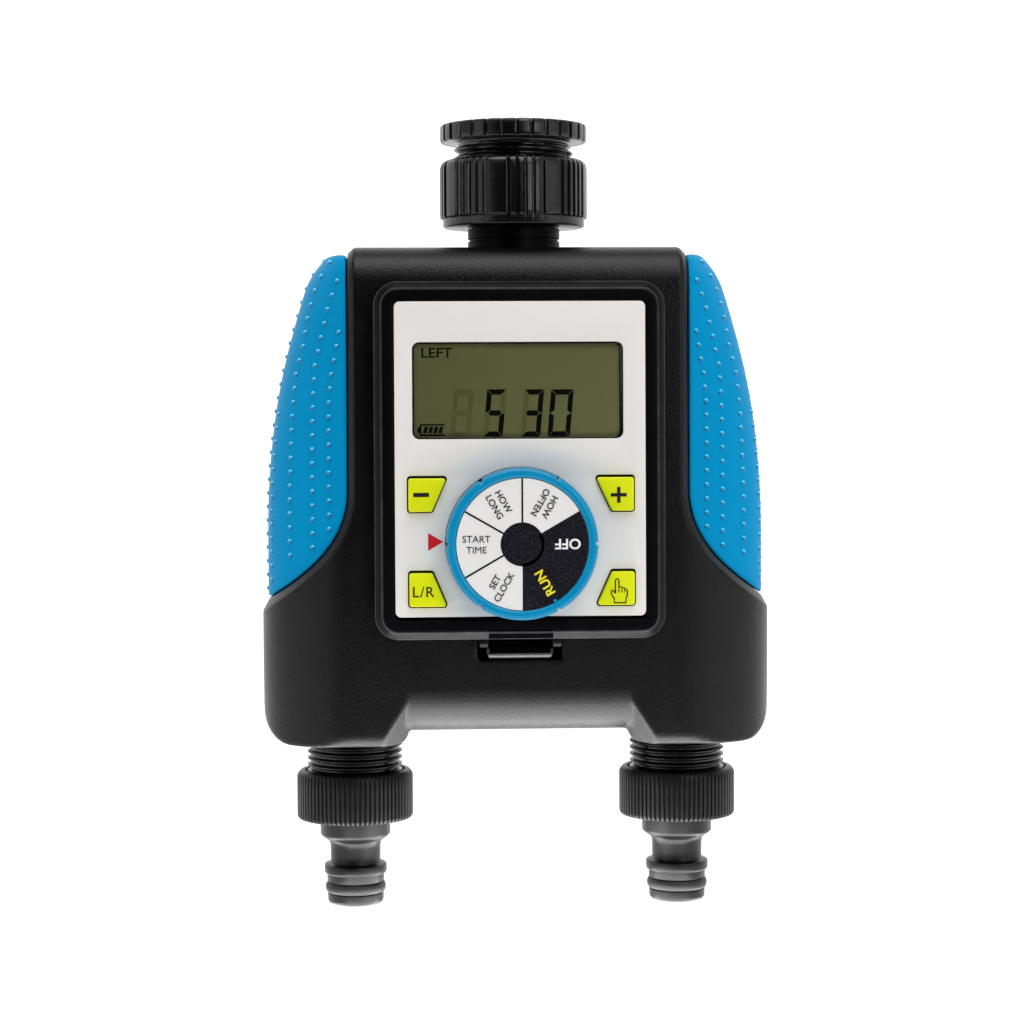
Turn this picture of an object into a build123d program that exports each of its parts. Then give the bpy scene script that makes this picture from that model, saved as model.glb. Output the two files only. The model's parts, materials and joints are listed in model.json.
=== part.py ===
from build123d import *
import os
from math import pi, cos, sin, tan, radians, copysign

# Two-outlet hose-tap watering timer. Units are millimetres.
# Origin: centre of the inlet adapter's threaded mouth. +Z up (towards the tap), the front faces -Y, +X to the right.

# ---------------------------------------------------------------- driving dimensions
# inlet
DISC_R, DISC_ROOT_R, DISC_H, DISC_TEETH = 20.3, 19.55, 4.95, 30
G34_MINOR_R, G34_MAJOR_R, G34_PITCH = 12.06, 13.22, 1.814      # standard 3/4 inch pipe thread
G1_MINOR_R, G1_MAJOR_R, G1_PITCH = 15.15, 16.62, 2.309         # standard 1 inch pipe thread
ADAPTER_BOTTOM = -19.8
NUT_TOP, NUT_BOTTOM, NUT_RIB_END = -9.9, -28.5, -25.9
NUT_R, NUT_VALLEY_R = 20.45, 19.65
NECK_R, NECK_INNER_R, NECK_STEM_R = 12.75, 8.6, 11.4

# body
BODY_TOP, BODY_BOTTOM, WEB_BOTTOM = -34.8, -170.9, -166.6
FRONT_Y, REAR_Y = -26.0, 33.0
SQ = 2.6                      # superellipse exponent of the horizontal sections
EDGE_X = 46.0                 # where grips meet the black centre
WALL = 2.5
OUTLET_X = 45.1
LOBE_IN_X = 29.9

# control module
BEZ_X, BEZ_T, BEZ_B = 38.85, -44.75, -140.15
BEZ_IX, BEZ_IT, BEZ_IB = 37.0, -47.4, -137.8
BEZ_FRONT, BEZ_BACK = -34.0, -26.2
MOD_X, MOD_T, MOD_B, MOD_BACK = 36.2, -48.2, -136.8, -12.3
PLATE_X, PLATE_T, PLATE_B, PLATE_FRONT, PLATE_BACK = 33.3, -50.2, -133.85, -34.4, -33.6
LCD = (-28.6, 27.3, -60.9, -86.5)        # x0, x1, z top, z bottom
DIAL_Z, DIAL_R, DIAL_DISC_R, DIAL_FRONT = -114.1, 19.9, 17.3, -44.0
PULL = 40.0

# valves
VZ_TOP, VZ_BOT, V_R, VY = -98.0, -118.0, 15.0, 6.0
THREAD_END = -186.0
CON_TOP, CON_BOTTOM, CON_R = -179.2, -192.6, 16.15


# ---------------------------------------------------------------- helpers
def save(shape, name):
    shape.label = name
    export_step(shape, f"parts/{name}.step")


def box(x0, x1, y0, y1, z0, z1):
    x0, x1 = min(x0, x1), max(x0, x1)
    y0, y1 = min(y0, y1), max(y0, y1)
    z0, z1 = min(z0, z1), max(z0, z1)
    return Pos((x0 + x1) / 2, (y0 + y1) / 2, (z0 + z1) / 2) * Box(x1 - x0, y1 - y0, z1 - z0)


def rbox_y(x0, x1, z0, z1, y0, y1, r):
    """box along Y with its four long edges rounded by r"""
    x0, x1 = min(x0, x1), max(x0, x1)
    z0, z1 = min(z0, z1), max(z0, z1)
    y0, y1 = min(y0, y1), max(y0, y1)
    sk = Plane(origin=((x0 + x1) / 2, y0, (z0 + z1) / 2), x_dir=(1, 0, 0), z_dir=(0, 1, 0)) * RectangleRounded(x1 - x0, z1 - z0, r)
    return extrude(sk, y1 - y0)


def cz(x, y, r, z0, z1):
    z0, z1 = min(z0, z1), max(z0, z1)
    return Pos(x, y, (z0 + z1) / 2) * Cylinder(r, z1 - z0)


def cy(x, z, r, y0, y1):
    y0, y1 = min(y0, y1), max(y0, y1)
    return Pos(x, (y0 + y1) / 2, z) * Rot(90, 0, 0) * Cylinder(r, y1 - y0)


def cx(y, z, r, x0, x1):
    x0, x1 = min(x0, x1), max(x0, x1)
    return Pos((x0 + x1) / 2, y, z) * Rot(0, 90, 0) * Cylinder(r, x1 - x0)


def turned(points, x=0.0, y=0.0):
    """solid of revolution about a vertical axis through (x, y) from (r, z) points"""
    sk = make_face(Polyline(*[(r, 0, z) for r, z in points], close=True))
    return Pos(x, y, 0) * revolve(sk, Axis.Z)


def polar_prism(pts, z0, z1, x=0.0, y=0.0):
    """prism with a polygon of (angle in degrees, radius) points"""
    sk = Polygon(*[(r * cos(radians(a)), r * sin(radians(a))) for a, r in pts], align=None)
    return Pos(x, y, min(z0, z1)) * extrude(sk, abs(z1 - z0))


def ring_thread(r_minor, r_major, pitch, z_top, z_bot, r_bore, x=0.0, y=0.0):
    """tube whose outside carries rings at the thread's pitch"""
    pts = [(r_bore, z_top), (r_minor, z_top)]
    z = z_top
    while z - pitch > z_bot:
        pts += [(r_minor, z - 0.10 * pitch), (r_major, z - 0.42 * pitch), (r_major, z - 0.58 * pitch), (r_minor, z - 0.90 * pitch)]
        z -= pitch
    pts += [(r_minor, z_bot), (r_bore, z_bot)]
    return turned(pts, x, y)


def lerp(table, z):
    for (za, wa), (zb, wb) in zip(table, table[1:]):
        if zb <= z <= za:
            t = (za - z) / (za - zb)
            return wa + t * (wb - wa)
    return table[0][1] if z > table[0][0] else table[-1][1]


GRIP_W = [(-30.0, 45.5), (-34.8, 49.6), (-37.0, 52.1), (-38.7, 54.2), (-40.3, 55.3), (-43.1, 56.6), (-48.7, 58.9), (-54.3, 60.5),
          (-59.8, 62.1), (-65.4, 63.5), (-71.0, 64.7), (-76.5, 65.8), (-82.0, 66.7), (-87.7, 67.4), (-93.3, 67.9),
          (-98.9, 68.3), (-104.4, 68.6), (-112.0, 68.7), (-140.0, 68.7)]
BLACK_W = [(-30.0, 47.0), (-34.8, 51.0), (-37.0, 53.5), (-43.1, 58.0), (-54.3, 61.9), (-65.4, 64.9), (-76.5, 67.2), (-87.7, 68.8),
           (-98.9, 69.6), (-110.0, 70.1), (-131.0, 70.5), (-150.0, 70.45), (-160.0, 70.3), (-175.0, 70.1)]


def section(w, h_front, h_rear, z, n=28):
    pts = []
    for i in range(n):
        t = 2 * pi * (i + 0.5) / n - pi / 2
        c, s = cos(t), sin(t)
        h = h_rear if s > 0 else h_front
        pts.append((w * copysign(abs(c) ** (2 / SQ), c), h * copysign(abs(s) ** (2 / SQ), s), z))
    return make_face(Spline(*pts, periodic=True))


def envelope(table, inset, zs, h_front, h_rear, w_full, stretch=0.0):
    """stack of horizontal sections; they get a little deeper where the body is narrower, so the grips' inner edge stays put"""
    secs = []
    for z in zs:
        w = lerp(table, z)
        zz = z + stretch if z == zs[0] else (z - stretch if z == zs[-1] else z)
        secs.append(section(w - inset, h_front + (w_full - w) * 0.45 - inset, h_rear + (w_full - w) * 0.55 - inset, zz))
    return loft(secs)


def side_slab(y_front, y_rear, z_top, z_bot, r_tf, r_bf, r_tr, r_br, half=80):
    """prism along X: the body's side profile, with its four corner radii"""
    pts = [(y_front, z_bot), (y_rear, z_bot), (y_rear, z_top), (y_front, z_top)]
    face = Plane.YZ * Polygon(*pts, align=None)
    b = Pos(-half, 0, 0) * extrude(face, 2 * half)
    def pick(y, z):
        return [e for e in b.edges().filter_by(Axis.X) if abs(e.center().Y - y) < 0.01 and abs(e.center().Z - z) < 0.01]
    for (y, z, r) in ((y_front, z_top, r_tf), (y_front, z_bot, r_bf), (y_rear, z_top, r_tr), (y_rear, z_bot, r_br)):
        b = fillet(pick(y, z), r)
        b = b if isinstance(b, (Part, Solid)) else Part() + b
    return b


# ---------------------------------------------------------------- body envelope
ZB = [-32.0, -38.0, -45.0, -54.0, -66.0, -80.0, -97.0, -115.0, -133.0, -152.0, -174.0]
ZG = [-32.0, -37.0, -42.0, -48.0, -56.0, -66.0, -78.0, -92.0, -106.0, -122.0, -138.0]
black_env = envelope(BLACK_W, 0.0, ZB, 31.0, 36.2, 70.4)
grip_env = envelope(GRIP_W, 0.0, ZG, 28.4, 34.9, 68.6)
grip_in_env = envelope(GRIP_W, 2.6, ZG, 28.4, 34.9, 68.6, 2.0)
grip_gap_env = envelope(GRIP_W, 2.5, ZG, 28.4, 34.9, 68.6, 1.0)
black_in_env = envelope(BLACK_W, WALL + 2.3, ZB, 31.0, 36.2, 70.4, 1.0)
slab = side_slab(FRONT_Y, REAR_Y, BODY_TOP, BODY_BOTTOM, 10.0, 5.0, 9.0, 6.0)
slab_in = side_slab(FRONT_Y + WALL, REAR_Y - WALL, BODY_TOP - WALL, WEB_BOTTOM + WALL, 7.5, 9.0, 6.5, 6.0)
grip_slab = side_slab(-25.2, 31.5, BODY_TOP - 1.2, BODY_BOTTOM, 10.0, 5.0, 9.0, 6.0)

# front outline: rounded lower corners, with the raised web between the two lobes
outline = Plane.XZ * Polygon((-72, BODY_BOTTOM), (-LOBE_IN_X, BODY_BOTTOM), (-LOBE_IN_X, WEB_BOTTOM), (LOBE_IN_X, WEB_BOTTOM),
                             (LOBE_IN_X, BODY_BOTTOM), (72, BODY_BOTTOM), (72, -30), (-72, -30), align=None)
outline_prism = Pos(0, 60, 0) * extrude(outline, 120, dir=(0, -1, 0))


def corner_cut(side):
    """what rounds the lobe's outer lower corner in the front view, radius 10"""
    x, r = 70.2, 10.0
    blk = box(side * (x - r), side * (x + 6), -60, 60, BODY_BOTTOM + r, BODY_BOTTOM - 6)
    return blk - cy(side * (x - r), BODY_BOTTOM + r, r, -60, 60)


# web between the lobes: its lower front edge is a broad roundover
def web_cut():
    r = 12.0
    blk = box(-LOBE_IN_X, LOBE_IN_X, FRONT_Y - 2, FRONT_Y + r, WEB_BOTTOM + r, WEB_BOTTOM - 6)
    return blk - cx(FRONT_Y + r, WEB_BOTTOM + r, r, -LOBE_IN_X - 1, LOBE_IN_X + 1)


body_solid = (black_env & slab & outline_prism) - corner_cut(1) - corner_cut(-1) - web_cut()

# region of the grips in the front view: outside x = EDGE_X, above a line that sweeps out to the shoulder
def grip_region(side, grow=0.0):
    e = EDGE_X - grow
    face = make_face([
        Line((side * e, 0, -20.0), (side * e, 0, -101.0)),
        Spline((side * e, 0, -101.0), (side * (47.6 - grow), 0, -109.5 - grow), (side * (51.8), 0, -116.8 - grow), (side * (58.6), 0, -123.6 - grow),
               (side * (69.0), 0, -131.2 - grow), (side * 76.0, 0, -136.0 - grow), tangents=((0, 0, -1), (side * 0.8, 0, -0.55))),
        Line((side * 76.0, 0, -136.0 - grow), (side * 76.0, 0, -20.0)),
        Line((side * 76.0, 0, -20.0), (side * e, 0, -20.0)),
    ])
    return Pos(0, 60, 0) * extrude(face, 120, dir=(0, -1, 0))


reg_l, reg_r = grip_region(-1), grip_region(1)
region = reg_l + reg_r
region_cut = grip_region(-1, 0.15) + grip_region(1, 0.15)
grip_core = grip_in_env & side_slab(-22.6, 29.0, BODY_TOP - 3.8, BODY_BOTTOM, 8.0, 5.0, 7.0, 6.0)
pocketed = body_solid - (region_cut - grip_core)
grip_gap = grip_gap_env & side_slab(-22.7, 29.1, BODY_TOP - 3.7, BODY_BOTTOM - 2, 8.0, 5.0, 7.0, 6.0)
for reg, name in ((reg_l, "left_grip"), (reg_r, "right_grip")):
    save((grip_env & grip_slab & reg) - grip_gap, name)

# hollow inside
inner = black_in_env & slab_in
shell = pocketed - inner

# screws: x, z, y where the head seats
SCREWS = [(sx * x, z, y) for sx in (-1, 1) for (x, z, y) in ((24.0, -40.6, 27.0), (42.0, -55.0, 27.0), (61.0, -156.5, 15.0), (14.0, -157.5, 26.0))]
bosses = None
for (x, z, y) in SCREWS:
    b = cy(x, z, 4.35, 0.8, 40) + cy(x, z, 3.4, -30, -0.8)
    bosses = b if bosses is None else bosses + b
body = shell + (bosses & pocketed)

# module pocket
pocket_outer = rbox_y(-38.3, 38.3, -46.1, -138.9, -30, -10.2, 6.0)
pocket_inner = rbox_y(-36.4, 36.4, -48.0, -137.0, -40, -12.0, 5.0)
body = body + (pocket_outer & pocketed)
body = body - pocket_inner

# latch recess under the module
body = body + box(-13.2, 13.2, FRONT_Y + 0.01, -15.2, -138.0, -148.0)
body = body - box(-11.3, 11.3, -40, -17.0, -140.4, -146.3)

# pass-throughs: neck, outlets, contact plug
body = body - cz(0, 0, NECK_R + 0.15, -30, -42)
for sx in (-1, 1):
    body = body - cz(sx * OUTLET_X, 0, 11.2, -160, -175)
body = body - box(-10.2, 10.2, -13, -9, -126.8, -133.2)
drills = []
for (x, z, y) in SCREWS:
    drills.append(turned([(0, -13.0), (1.65, -13.0), (1.65, y), (3.15, y), (3.15, 48.0), (0, 48.0)]).rotate(Axis.X, -90).moved(Location((x, 0, z))))
for d in drills:
    body = body - d

# the seam is the plane y = 0, with a gasket in a groove in both rims
def seam_ring(o_out, o_in, y0, y1):
    def frame(o):
        tbl = [z for z in (-38.0, -43.0, -54.0, -70.0, -88.0, -104.0)]
        right = [(lerp(GRIP_W, z) - 2.6 - o, z) for z in tbl] + [(66.1 - o, -128.0), (66.1 - o, -160.0), (60.0 - o, BODY_BOTTOM + 0.3 + o)]
        top = BODY_TOP - 0.2 - o
        pts = [(-44.0 + o, top), (44.0 - o, top)] + right + [(LOBE_IN_X + 1.0 + o, BODY_BOTTOM + 0.3 + o), (LOBE_IN_X + 1.0 + o, WEB_BOTTOM + 0.3 + o)]
        pts += [(-x, z) for x, z in reversed(pts[2:])]
        return Plane.XZ * Polygon(*pts, align=None)
    a = Pos(0, y1, 0) * extrude(frame(o_out), y1 - y0, dir=(0, -1, 0))
    b = Pos(0, y1 + 1, 0) * extrude(frame(o_in), y1 - y0 + 2, dir=(0, -1, 0))
    return a - b


groove = seam_ring(0.75, 1.95, -0.7, 0.7)
gasket = seam_ring(0.85, 1.85, -0.6, 0.6) & pocketed
gasket = gasket - cz(0, 0, NECK_R + 0.6, -30, -42)
for sx in (-1, 1):
    gasket = gasket - cz(sx * OUTLET_X, 0, 11.8, -160, -175)
for (x, z, y) in SCREWS:
    gasket = gasket - cy(x, z, 2.1, -5, 5)
body = body - groove
front = body & box(-90, 90, -60, -0.04, -20, -190)
rear = body & box(-90, 90, 0.04, 60, -20, -190)


def biggest(shape):
    return max(shape.solids(), key=lambda s: s.volume)


save(biggest(front), "front_housing")
save(biggest(rear), "rear_housing")
save(gasket, "housing_seal")

screws = None
for (x, z, y) in SCREWS:
    s = cy(x, z, 2.9, y, y + 2.2) + cy(x, z, 1.5, -12.0, y)
    s = s - Pos(x, y + 1.7, z) * Rot(0, 0, 0) * Box(3.6, 1.2, 0.8) - Pos(x, y + 1.7, z) * Box(0.8, 1.2, 3.6)
    screws = s if screws is None else screws + s
save(screws, "housing_screws")

# ---------------------------------------------------------------- inlet
teeth = []
for i in range(DISC_TEETH):
    a = 360 / DISC_TEETH * i
    teeth += [(a - 4.4, DISC_R), (a, DISC_R + 0.05), (a + 4.4, DISC_R), (a + 5.1, DISC_ROOT_R), (a + 6.9, DISC_ROOT_R)]
adapter = polar_prism(teeth, -DISC_H, 0)
adapter = adapter + ring_thread(G1_MINOR_R, G1_MAJOR_R, G1_PITCH, -DISC_H, ADAPTER_BOTTOM, 9.0)
adapter = adapter - cz(0, 0, G34_MINOR_R, 1, -9.5) - cz(0, 0, 12.6, -9.0, -12.2) - cz(0, 0, 9.0, 1, -30)
save(adapter, "inlet_adapter")
save(turned([(9.1, -9.75), (12.4, -9.75), (12.4, -12.1), (9.1, -12.1)]), "adapter_washer")

# cone strainer that hangs in the adapter's bore, on a rim under the washer
strainer = turned([(8.2, -9.1), (10.8, -9.1), (10.8, -9.65), (8.8, -9.65), (8.8, -12.6), (4.2, -20.9), (0.0, -20.9), (0.0, -20.4), (3.8, -20.4), (8.2, -12.4)])
save(strainer, "filter_screen")

ribs = []
for k in range(8):
    base = 45.0 * k + 12.0 - 90.0
    ribs += [(base - 6.5, NUT_R), (base, NUT_R + 0.12), (base + 6.5, NUT_R)]
    for j in range(4):
        c = base + 6.5 + 6.1 + j * 6.45
        ribs += [(c - 2.6, NUT_VALLEY_R), (c - 1.6, NUT_R), (c + 1.6, NUT_R), (c + 2.6, NUT_VALLEY_R)]
nut = polar_prism(ribs, NUT_TOP, NUT_RIB_END) + cz(0, 0, NUT_R + 0.02, NUT_RIB_END, NUT_BOTTOM)
nut = nut & turned([(0, NUT_TOP), (18.6, NUT_TOP), (20.0, NUT_TOP - 0.9), (20.7, NUT_TOP - 2.2), (20.7, NUT_BOTTOM), (0, NUT_BOTTOM)])
nut = nut - cz(0, 0, G1_MAJOR_R + 0.08, NUT_TOP + 1, -25.1) - cz(0, 0, NECK_STEM_R + 0.08, NUT_TOP, NUT_BOTTOM - 1)
save(nut, "inlet_nut")
save(turned([(9.3, -21.4), (15.4, -21.4), (15.4, -22.7), (9.3, -22.7)]), "inlet_seal")

# neck and cross channel to the two valves
NB = 7.2
neck = turned([(NB, -22.8), (15.6, -22.8), (15.6, -25.0), (NECK_STEM_R, -25.0), (NECK_STEM_R, -28.9), (NECK_R, -28.9), (NECK_R, -31.6), (NECK_R - 0.45, -31.8),
               (NECK_R - 0.45, -32.3), (NECK_R, -32.5), (NECK_R, -41.0), (9.4, -43.5), (9.4, -108.0), (0, -108.0), (0, -105.8), (NB, -105.8)])
cross = cx(0, -108.0, 7.6, -28.0, 28.0)
manifold = neck + cross + cz(0, 0, 9.4, -100, -116)
manifold = manifold - cz(0, 0, NB, -20, -108) - cx(0, -108.0, 5.4, -40, 40)
save(manifold, "inlet_manifold")

# ---------------------------------------------------------------- valves
seals = None                 # grows to one ring per valve
vscrews = None
VS = [(9.9, 9.9), (-9.9, 9.9), (9.9, -9.9), (-9.9, -9.9)]
for side, tag in ((-1, "left"), (1, "right")):
    X = side * OUTLET_X
    # chamber behind the outlet axis, outlet tube and thread on the axis
    vb = cz(X, VY, V_R, VZ_TOP, VZ_BOT)
    vb = vb + cz(X, 0, 10.6, VZ_BOT + 1, -160.0) + cz(X, 0, 10.9, -159.5, -171.4)
    vb = vb + cx(0, -108.0, 9.6, X - side * 12.0, X - side * 20.0)
    vb = vb + ring_thread(G34_MINOR_R, G34_MAJOR_R, G34_PITCH, -171.2, THREAD_END, 7.5, X, 0)
    vb = vb - cz(X, VY, 11.8, VZ_TOP + 1, VZ_BOT + 4) + (cz(X, VY, 8.2, VZ_TOP - 2.2, VZ_BOT + 3) - cz(X, VY, 6.6, VZ_TOP, VZ_BOT))
    vb = vb - cz(X, VY, 6.6, VZ_BOT + 8, VZ_BOT + 2.0) - cz(X, 0, 7.5, VZ_BOT + 3.0, THREAD_END - 1)
    vb = vb - cx(0, -108.0, 7.7, X - side * 15.4, X - side * 30.0) - (cx(0, -108.0, 5.4, X - side * 9.0, X - side * 16) - cz(X, VY, 8.2, -90, -130))
    for (dx, dy) in VS:
        vb = vb - cz(X + dx, VY + dy, 1.1, VZ_TOP + 1, VZ_TOP - 9)
    save(vb, f"{tag}_valve_body")
    dia = cz(X, VY, 12.4, -97.9, -96.9) + cz(X, VY, 7.8, -96.9, -95.8)
    save(dia, f"{tag}_diaphragm")
    bon = cz(X, VY, V_R, -97.9, -90.0)
    bon = bon - cz(X, VY, 12.45, -99, -96.85) - cz(X, VY, 8.4, -99, -93.0)
    bon = bon + cz(X, VY, 5.6, -90.0, -64.0)
    bon = bon - cz(X, VY, 4.96, -94, -65.5)
    for (dx, dy) in VS:
        bon = bon - cz(X + dx, VY + dy, 1.3, -80, -99)
    save(bon, f"{tag}_bonnet")
    for (dx, dy) in VS:
        s = cz(X + dx, VY + dy, 1.9, -89.9, -88.2) + cz(X + dx, VY + dy, 1.02, -89.9, -105.5)
        s = s - Pos(X + dx, VY + dy, -88.3) * Box(2.4, 0.6, 1.0) - Pos(X + dx, VY + dy, -88.3) * Box(0.6, 2.4, 1.0)
        vscrews = s if vscrews is None else vscrews + s
    coil = cz(X, VY, 9.8, -86.8, -66.5) + cz(X, VY, 10.6, -87.4, -86.0) + cz(X, VY, 10.6, -67.5, -66.0) - cz(X, VY, 5.68, -90, -60)
    coil = coil + box(X - 4, X + 4, VY + 9.0, VY + 13.5, -74, -67.5)
    save(coil, f"{tag}_solenoid_coil")
    plg = cz(X, VY, 4.9, -92.6, -76.0) - cz(X, VY, 3.6, -80.5, -70)
    save(plg, f"{tag}_plunger")
    path = Pos(X, VY, -80.1) * Helix(pitch=2.4, height=14.1, radius=2.7)
    sp = sweep(Plane(path @ 0, z_dir=path % 0) * Circle(0.33), path=path, is_frenet=True)
    save(sp, f"{tag}_return_spring")
    oring = cx(0, -108.0, 9.5, X - side * 20.1, X - side * 21.5) - cx(0, -108.0, 7.66, X - side * 19, X - side * 23)
    seals = oring if seals is None else seals + oring
    # outlet connector: ribbed nut and snap nose in one piece
    n_rib = 48
    pts = []
    for i in range(n_rib):
        a = 360 / n_rib * i
        pts += [(a - 2.0, CON_R), (a + 2.0, CON_R), (a + 2.9, CON_R - 0.6), (a + 4.6, CON_R - 0.6)]
    con = polar_prism(pts, CON_TOP, CON_BOTTOM, X, 0)
    con = con & turned([(0, CON_TOP), (15.2, CON_TOP), (16.3, CON_TOP - 1.4), (16.3, CON_BOTTOM + 0.7), (15.5, CON_BOTTOM), (0, CON_BOTTOM)], X, 0)
    con = con + turned([(4.6, CON_BOTTOM + 2), (9.75, CON_BOTTOM + 2), (9.75, -197.1), (8.1, -199.0), (7.1, -200.6), (6.8, -202.0), (7.2, -202.8), (8.15, -203.1), (8.4, -203.6), (8.4, -206.4),
                        (8.1, -206.9), (7.75, -207.1), (7.75, -209.7), (6.55, -209.7), (6.55, -212.6), (7.55, -212.6), (7.55, -215.4), (7.1, -216.3), (6.2, -216.7), (4.6, -216.7)], X, 0)
    con = con - cz(X, 0, G34_MAJOR_R + 0.08, CON_TOP + 1, -188.7) - cz(X, 0, 4.6, -180, -220)
    save(con, f"{tag}_connector")
    save(turned([(7.9, -186.1), (12.8, -186.1), (12.8, -188.6), (7.9, -188.6)], X, 0), f"{tag}_connector_washer")
    save(turned([(6.6, -210.1), (7.0, -209.85), (7.7, -209.85), (8.1, -210.4), (8.12, -211.15), (8.1, -211.9), (7.7, -212.45), (7.0, -212.45), (6.6, -212.2)], X, 0), f"{tag}_o_ring")
save(vscrews, "valve_screws")
save(seals, "manifold_seals")

# ---------------------------------------------------------------- contact plug from the housing into the module
save(box(-10.0, 10.0, -14.8, -12.1, -127.0, -133.0) + box(-9.0, 9.0, -12.1, -8.6, -127.4, -132.6), "contact_plug")

# release latch: a push catch in the recess under the module, with a hollowed finger face
latch = box(-9.0, 9.0, -26.9, -18.9, -142.9, -146.0) - cx(-29.6, -141.9, 4.6, -12, 12)
save(latch, "release_latch")

# ---------------------------------------------------------------- control module
def frame_block(y0, y1):
    return rbox_y(-BEZ_X, BEZ_X, BEZ_B, BEZ_T, y0, y1, 6.5)


bez = frame_block(BEZ_FRONT, BEZ_BACK)
lip = [e for e in bez.edges() if abs(e.center().Y - BEZ_FRONT) < 0.01]
bez = chamfer(lip, 1.9)
bez = bez + rbox_y(-MOD_X, MOD_X, MOD_B, MOD_T, -27.0, -14.4, 4.8)
bez = bez - rbox_y(-MOD_X + 1.8, MOD_X - 1.8, MOD_B + 1.8, MOD_T - 1.8, -30.2, -10, 3.5)
bez = bez - rbox_y(-PLATE_X - 0.12, PLATE_X + 0.12, PLATE_B - 0.12, PLATE_T + 0.12, -40, PLATE_BACK + 0.02, 1.6)
MS = [(-32.6, -51.6), (32.6, -51.6), (-32.6, -133.4), (32.6, -133.4)]
for (x, z) in MS:
    bez = bez + (cy(x, z, 2.6, -25.0, -14.4) & rbox_y(-MOD_X, MOD_X, MOD_B, MOD_T, -27.0, -14.4, 4.8)) - cy(x, z, 1.1, -22.0, -14.0)
# two feet at the lower edge, either side of the latch
for sx in (-1, 1):
    bez = bez + box(sx * 8.6, sx * 11.0, -30.5, -27.0, BEZ_B + 0.5, -142.4)


def holes(y0, y1, g):
    """openings for window, shaft and buttons, grown by g"""
    h = box(LCD[0] - g, LCD[1] + g, y0, y1, LCD[2] + g, LCD[3] - g) + cy(0, DIAL_Z, 4.2 + g, y0, y1)
    for name in BUTTONS:
        h = h + button_prism(name, y0, y1, 0.25 + g)
    return h


BUTTONS = {
    "minus_button": ((-29.7, -96.6), (-19.2, -96.6), (-23.4, -105.9), (-29.7, -105.9)),
    "plus_button": ((19.9, -96.5), (30.5, -96.5), (30.5, -105.6), (24.3, -105.6)),
    "outlet_button": ((-29.5, -121.7), (-23.1, -121.7), (-19.0, -131.0), (-29.5, -131.0)),
    "manual_button": ((24.1, -121.4), (30.7, -121.4), (30.7, -130.8), (20.0, -130.8)),
}


def button_prism(name, y0, y1, g):
    pts = BUTTONS[name]
    cxm = sum(p[0] for p in pts) / 4
    czm = sum(p[1] for p in pts) / 4
    big = []
    for (x, z) in pts:
        big.append((x + copysign(g, x - cxm), z + copysign(g, z - czm)))
    face = Plane.XZ * Polygon(*big, align=None)
    return Pos(0, max(y0, y1), 0) * extrude(face, abs(y1 - y0), dir=(0, -1, 0))


bez = bez - holes(-40, -27.5, 0.0)
save(bez, "bezel")
plate = rbox_y(-PLATE_X, PLATE_X, PLATE_B, PLATE_T, PLATE_FRONT, PLATE_BACK, 1.5) - holes(-40, -30, 0.0)
save(plate, "faceplate")
save(box(LCD[0] + 0.1, LCD[1] - 0.1, -33.9, -32.6, LCD[2] - 0.1, LCD[3] + 0.1), "lcd_window")
save(box(-30.6, 29.3, -30.0, -27.9, -58.6, -89.2) + box(LCD[0] + 0.6, LCD[1] - 0.6, -32.3, -29.9, LCD[2] - 0.6, LCD[3] + 0.6), "lcd_panel")
pcb = box(-33.0, 33.0, -27.6, -26.0, -51.5, -133.4)
save(pcb, "circuit_board")
enc = rbox_y(-7.0, 7.0, DIAL_Z - 7.0, DIAL_Z + 7.0, -30.0, -27.7, 1.0) - cy(0, DIAL_Z, 3.1, -40, -20)
save(enc, "rotary_encoder")
sw = None
for name, pts in BUTTONS.items():
    x = sum(p[0] for p in pts) / 4
    z = sum(p[1] for p in pts) / 4
    s = box(x - 3, x + 3, -30.0, -27.7, z - 3, z + 3) + cy(x, z, 1.6, -30.9, -29.9)
    sw = s if sw is None else sw + s
save(sw, "tact_switches")
for name, pts in BUTTONS.items():
    x = sum(p[0] for p in pts) / 4
    z = sum(p[1] for p in pts) / 4
    cap = button_prism(name, -36.0, -32.6, 0.0)
    tops = [e for e in cap.edges() if abs(e.center().Y + 36.0) < 0.01]
    cap = fillet(tops, 0.5)
    cap = cap + cy(x, z, 2.2, -32.7, -31.8)
    save(cap, name)

# dial
ring_pts = []
dial = cy(0, DIAL_Z, DIAL_R, -34.9, DIAL_FRONT)
dial = dial - cy(0, DIAL_Z, DIAL_DISC_R, DIAL_FRONT - 1, -43.3) - cy(0, DIAL_Z, 3.05, -50, -30)
for k in range(6):
    a = radians(60 * k)
    dial = dial - Pos(20.6 * cos(a), -39.5, DIAL_Z + 20.6 * sin(a)) * Rot(0, -60 * k, 0) * Box(1.8, 12, 2.4)
edge = [e for e in dial.edges() if abs(e.center().Y - DIAL_FRONT) < 0.01 and e.length > 12]
save(dial, "dial_ring")
save(cy(0, DIAL_Z, DIAL_DISC_R - 0.05, -43.85, -43.35), "dial_insert")
save(cy(0, DIAL_Z, 3.0, -43.3, -28.2) - box(-4, 4, -43.4, -38.0, DIAL_Z + 2.2, DIAL_Z + 5), "dial_shaft")

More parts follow.
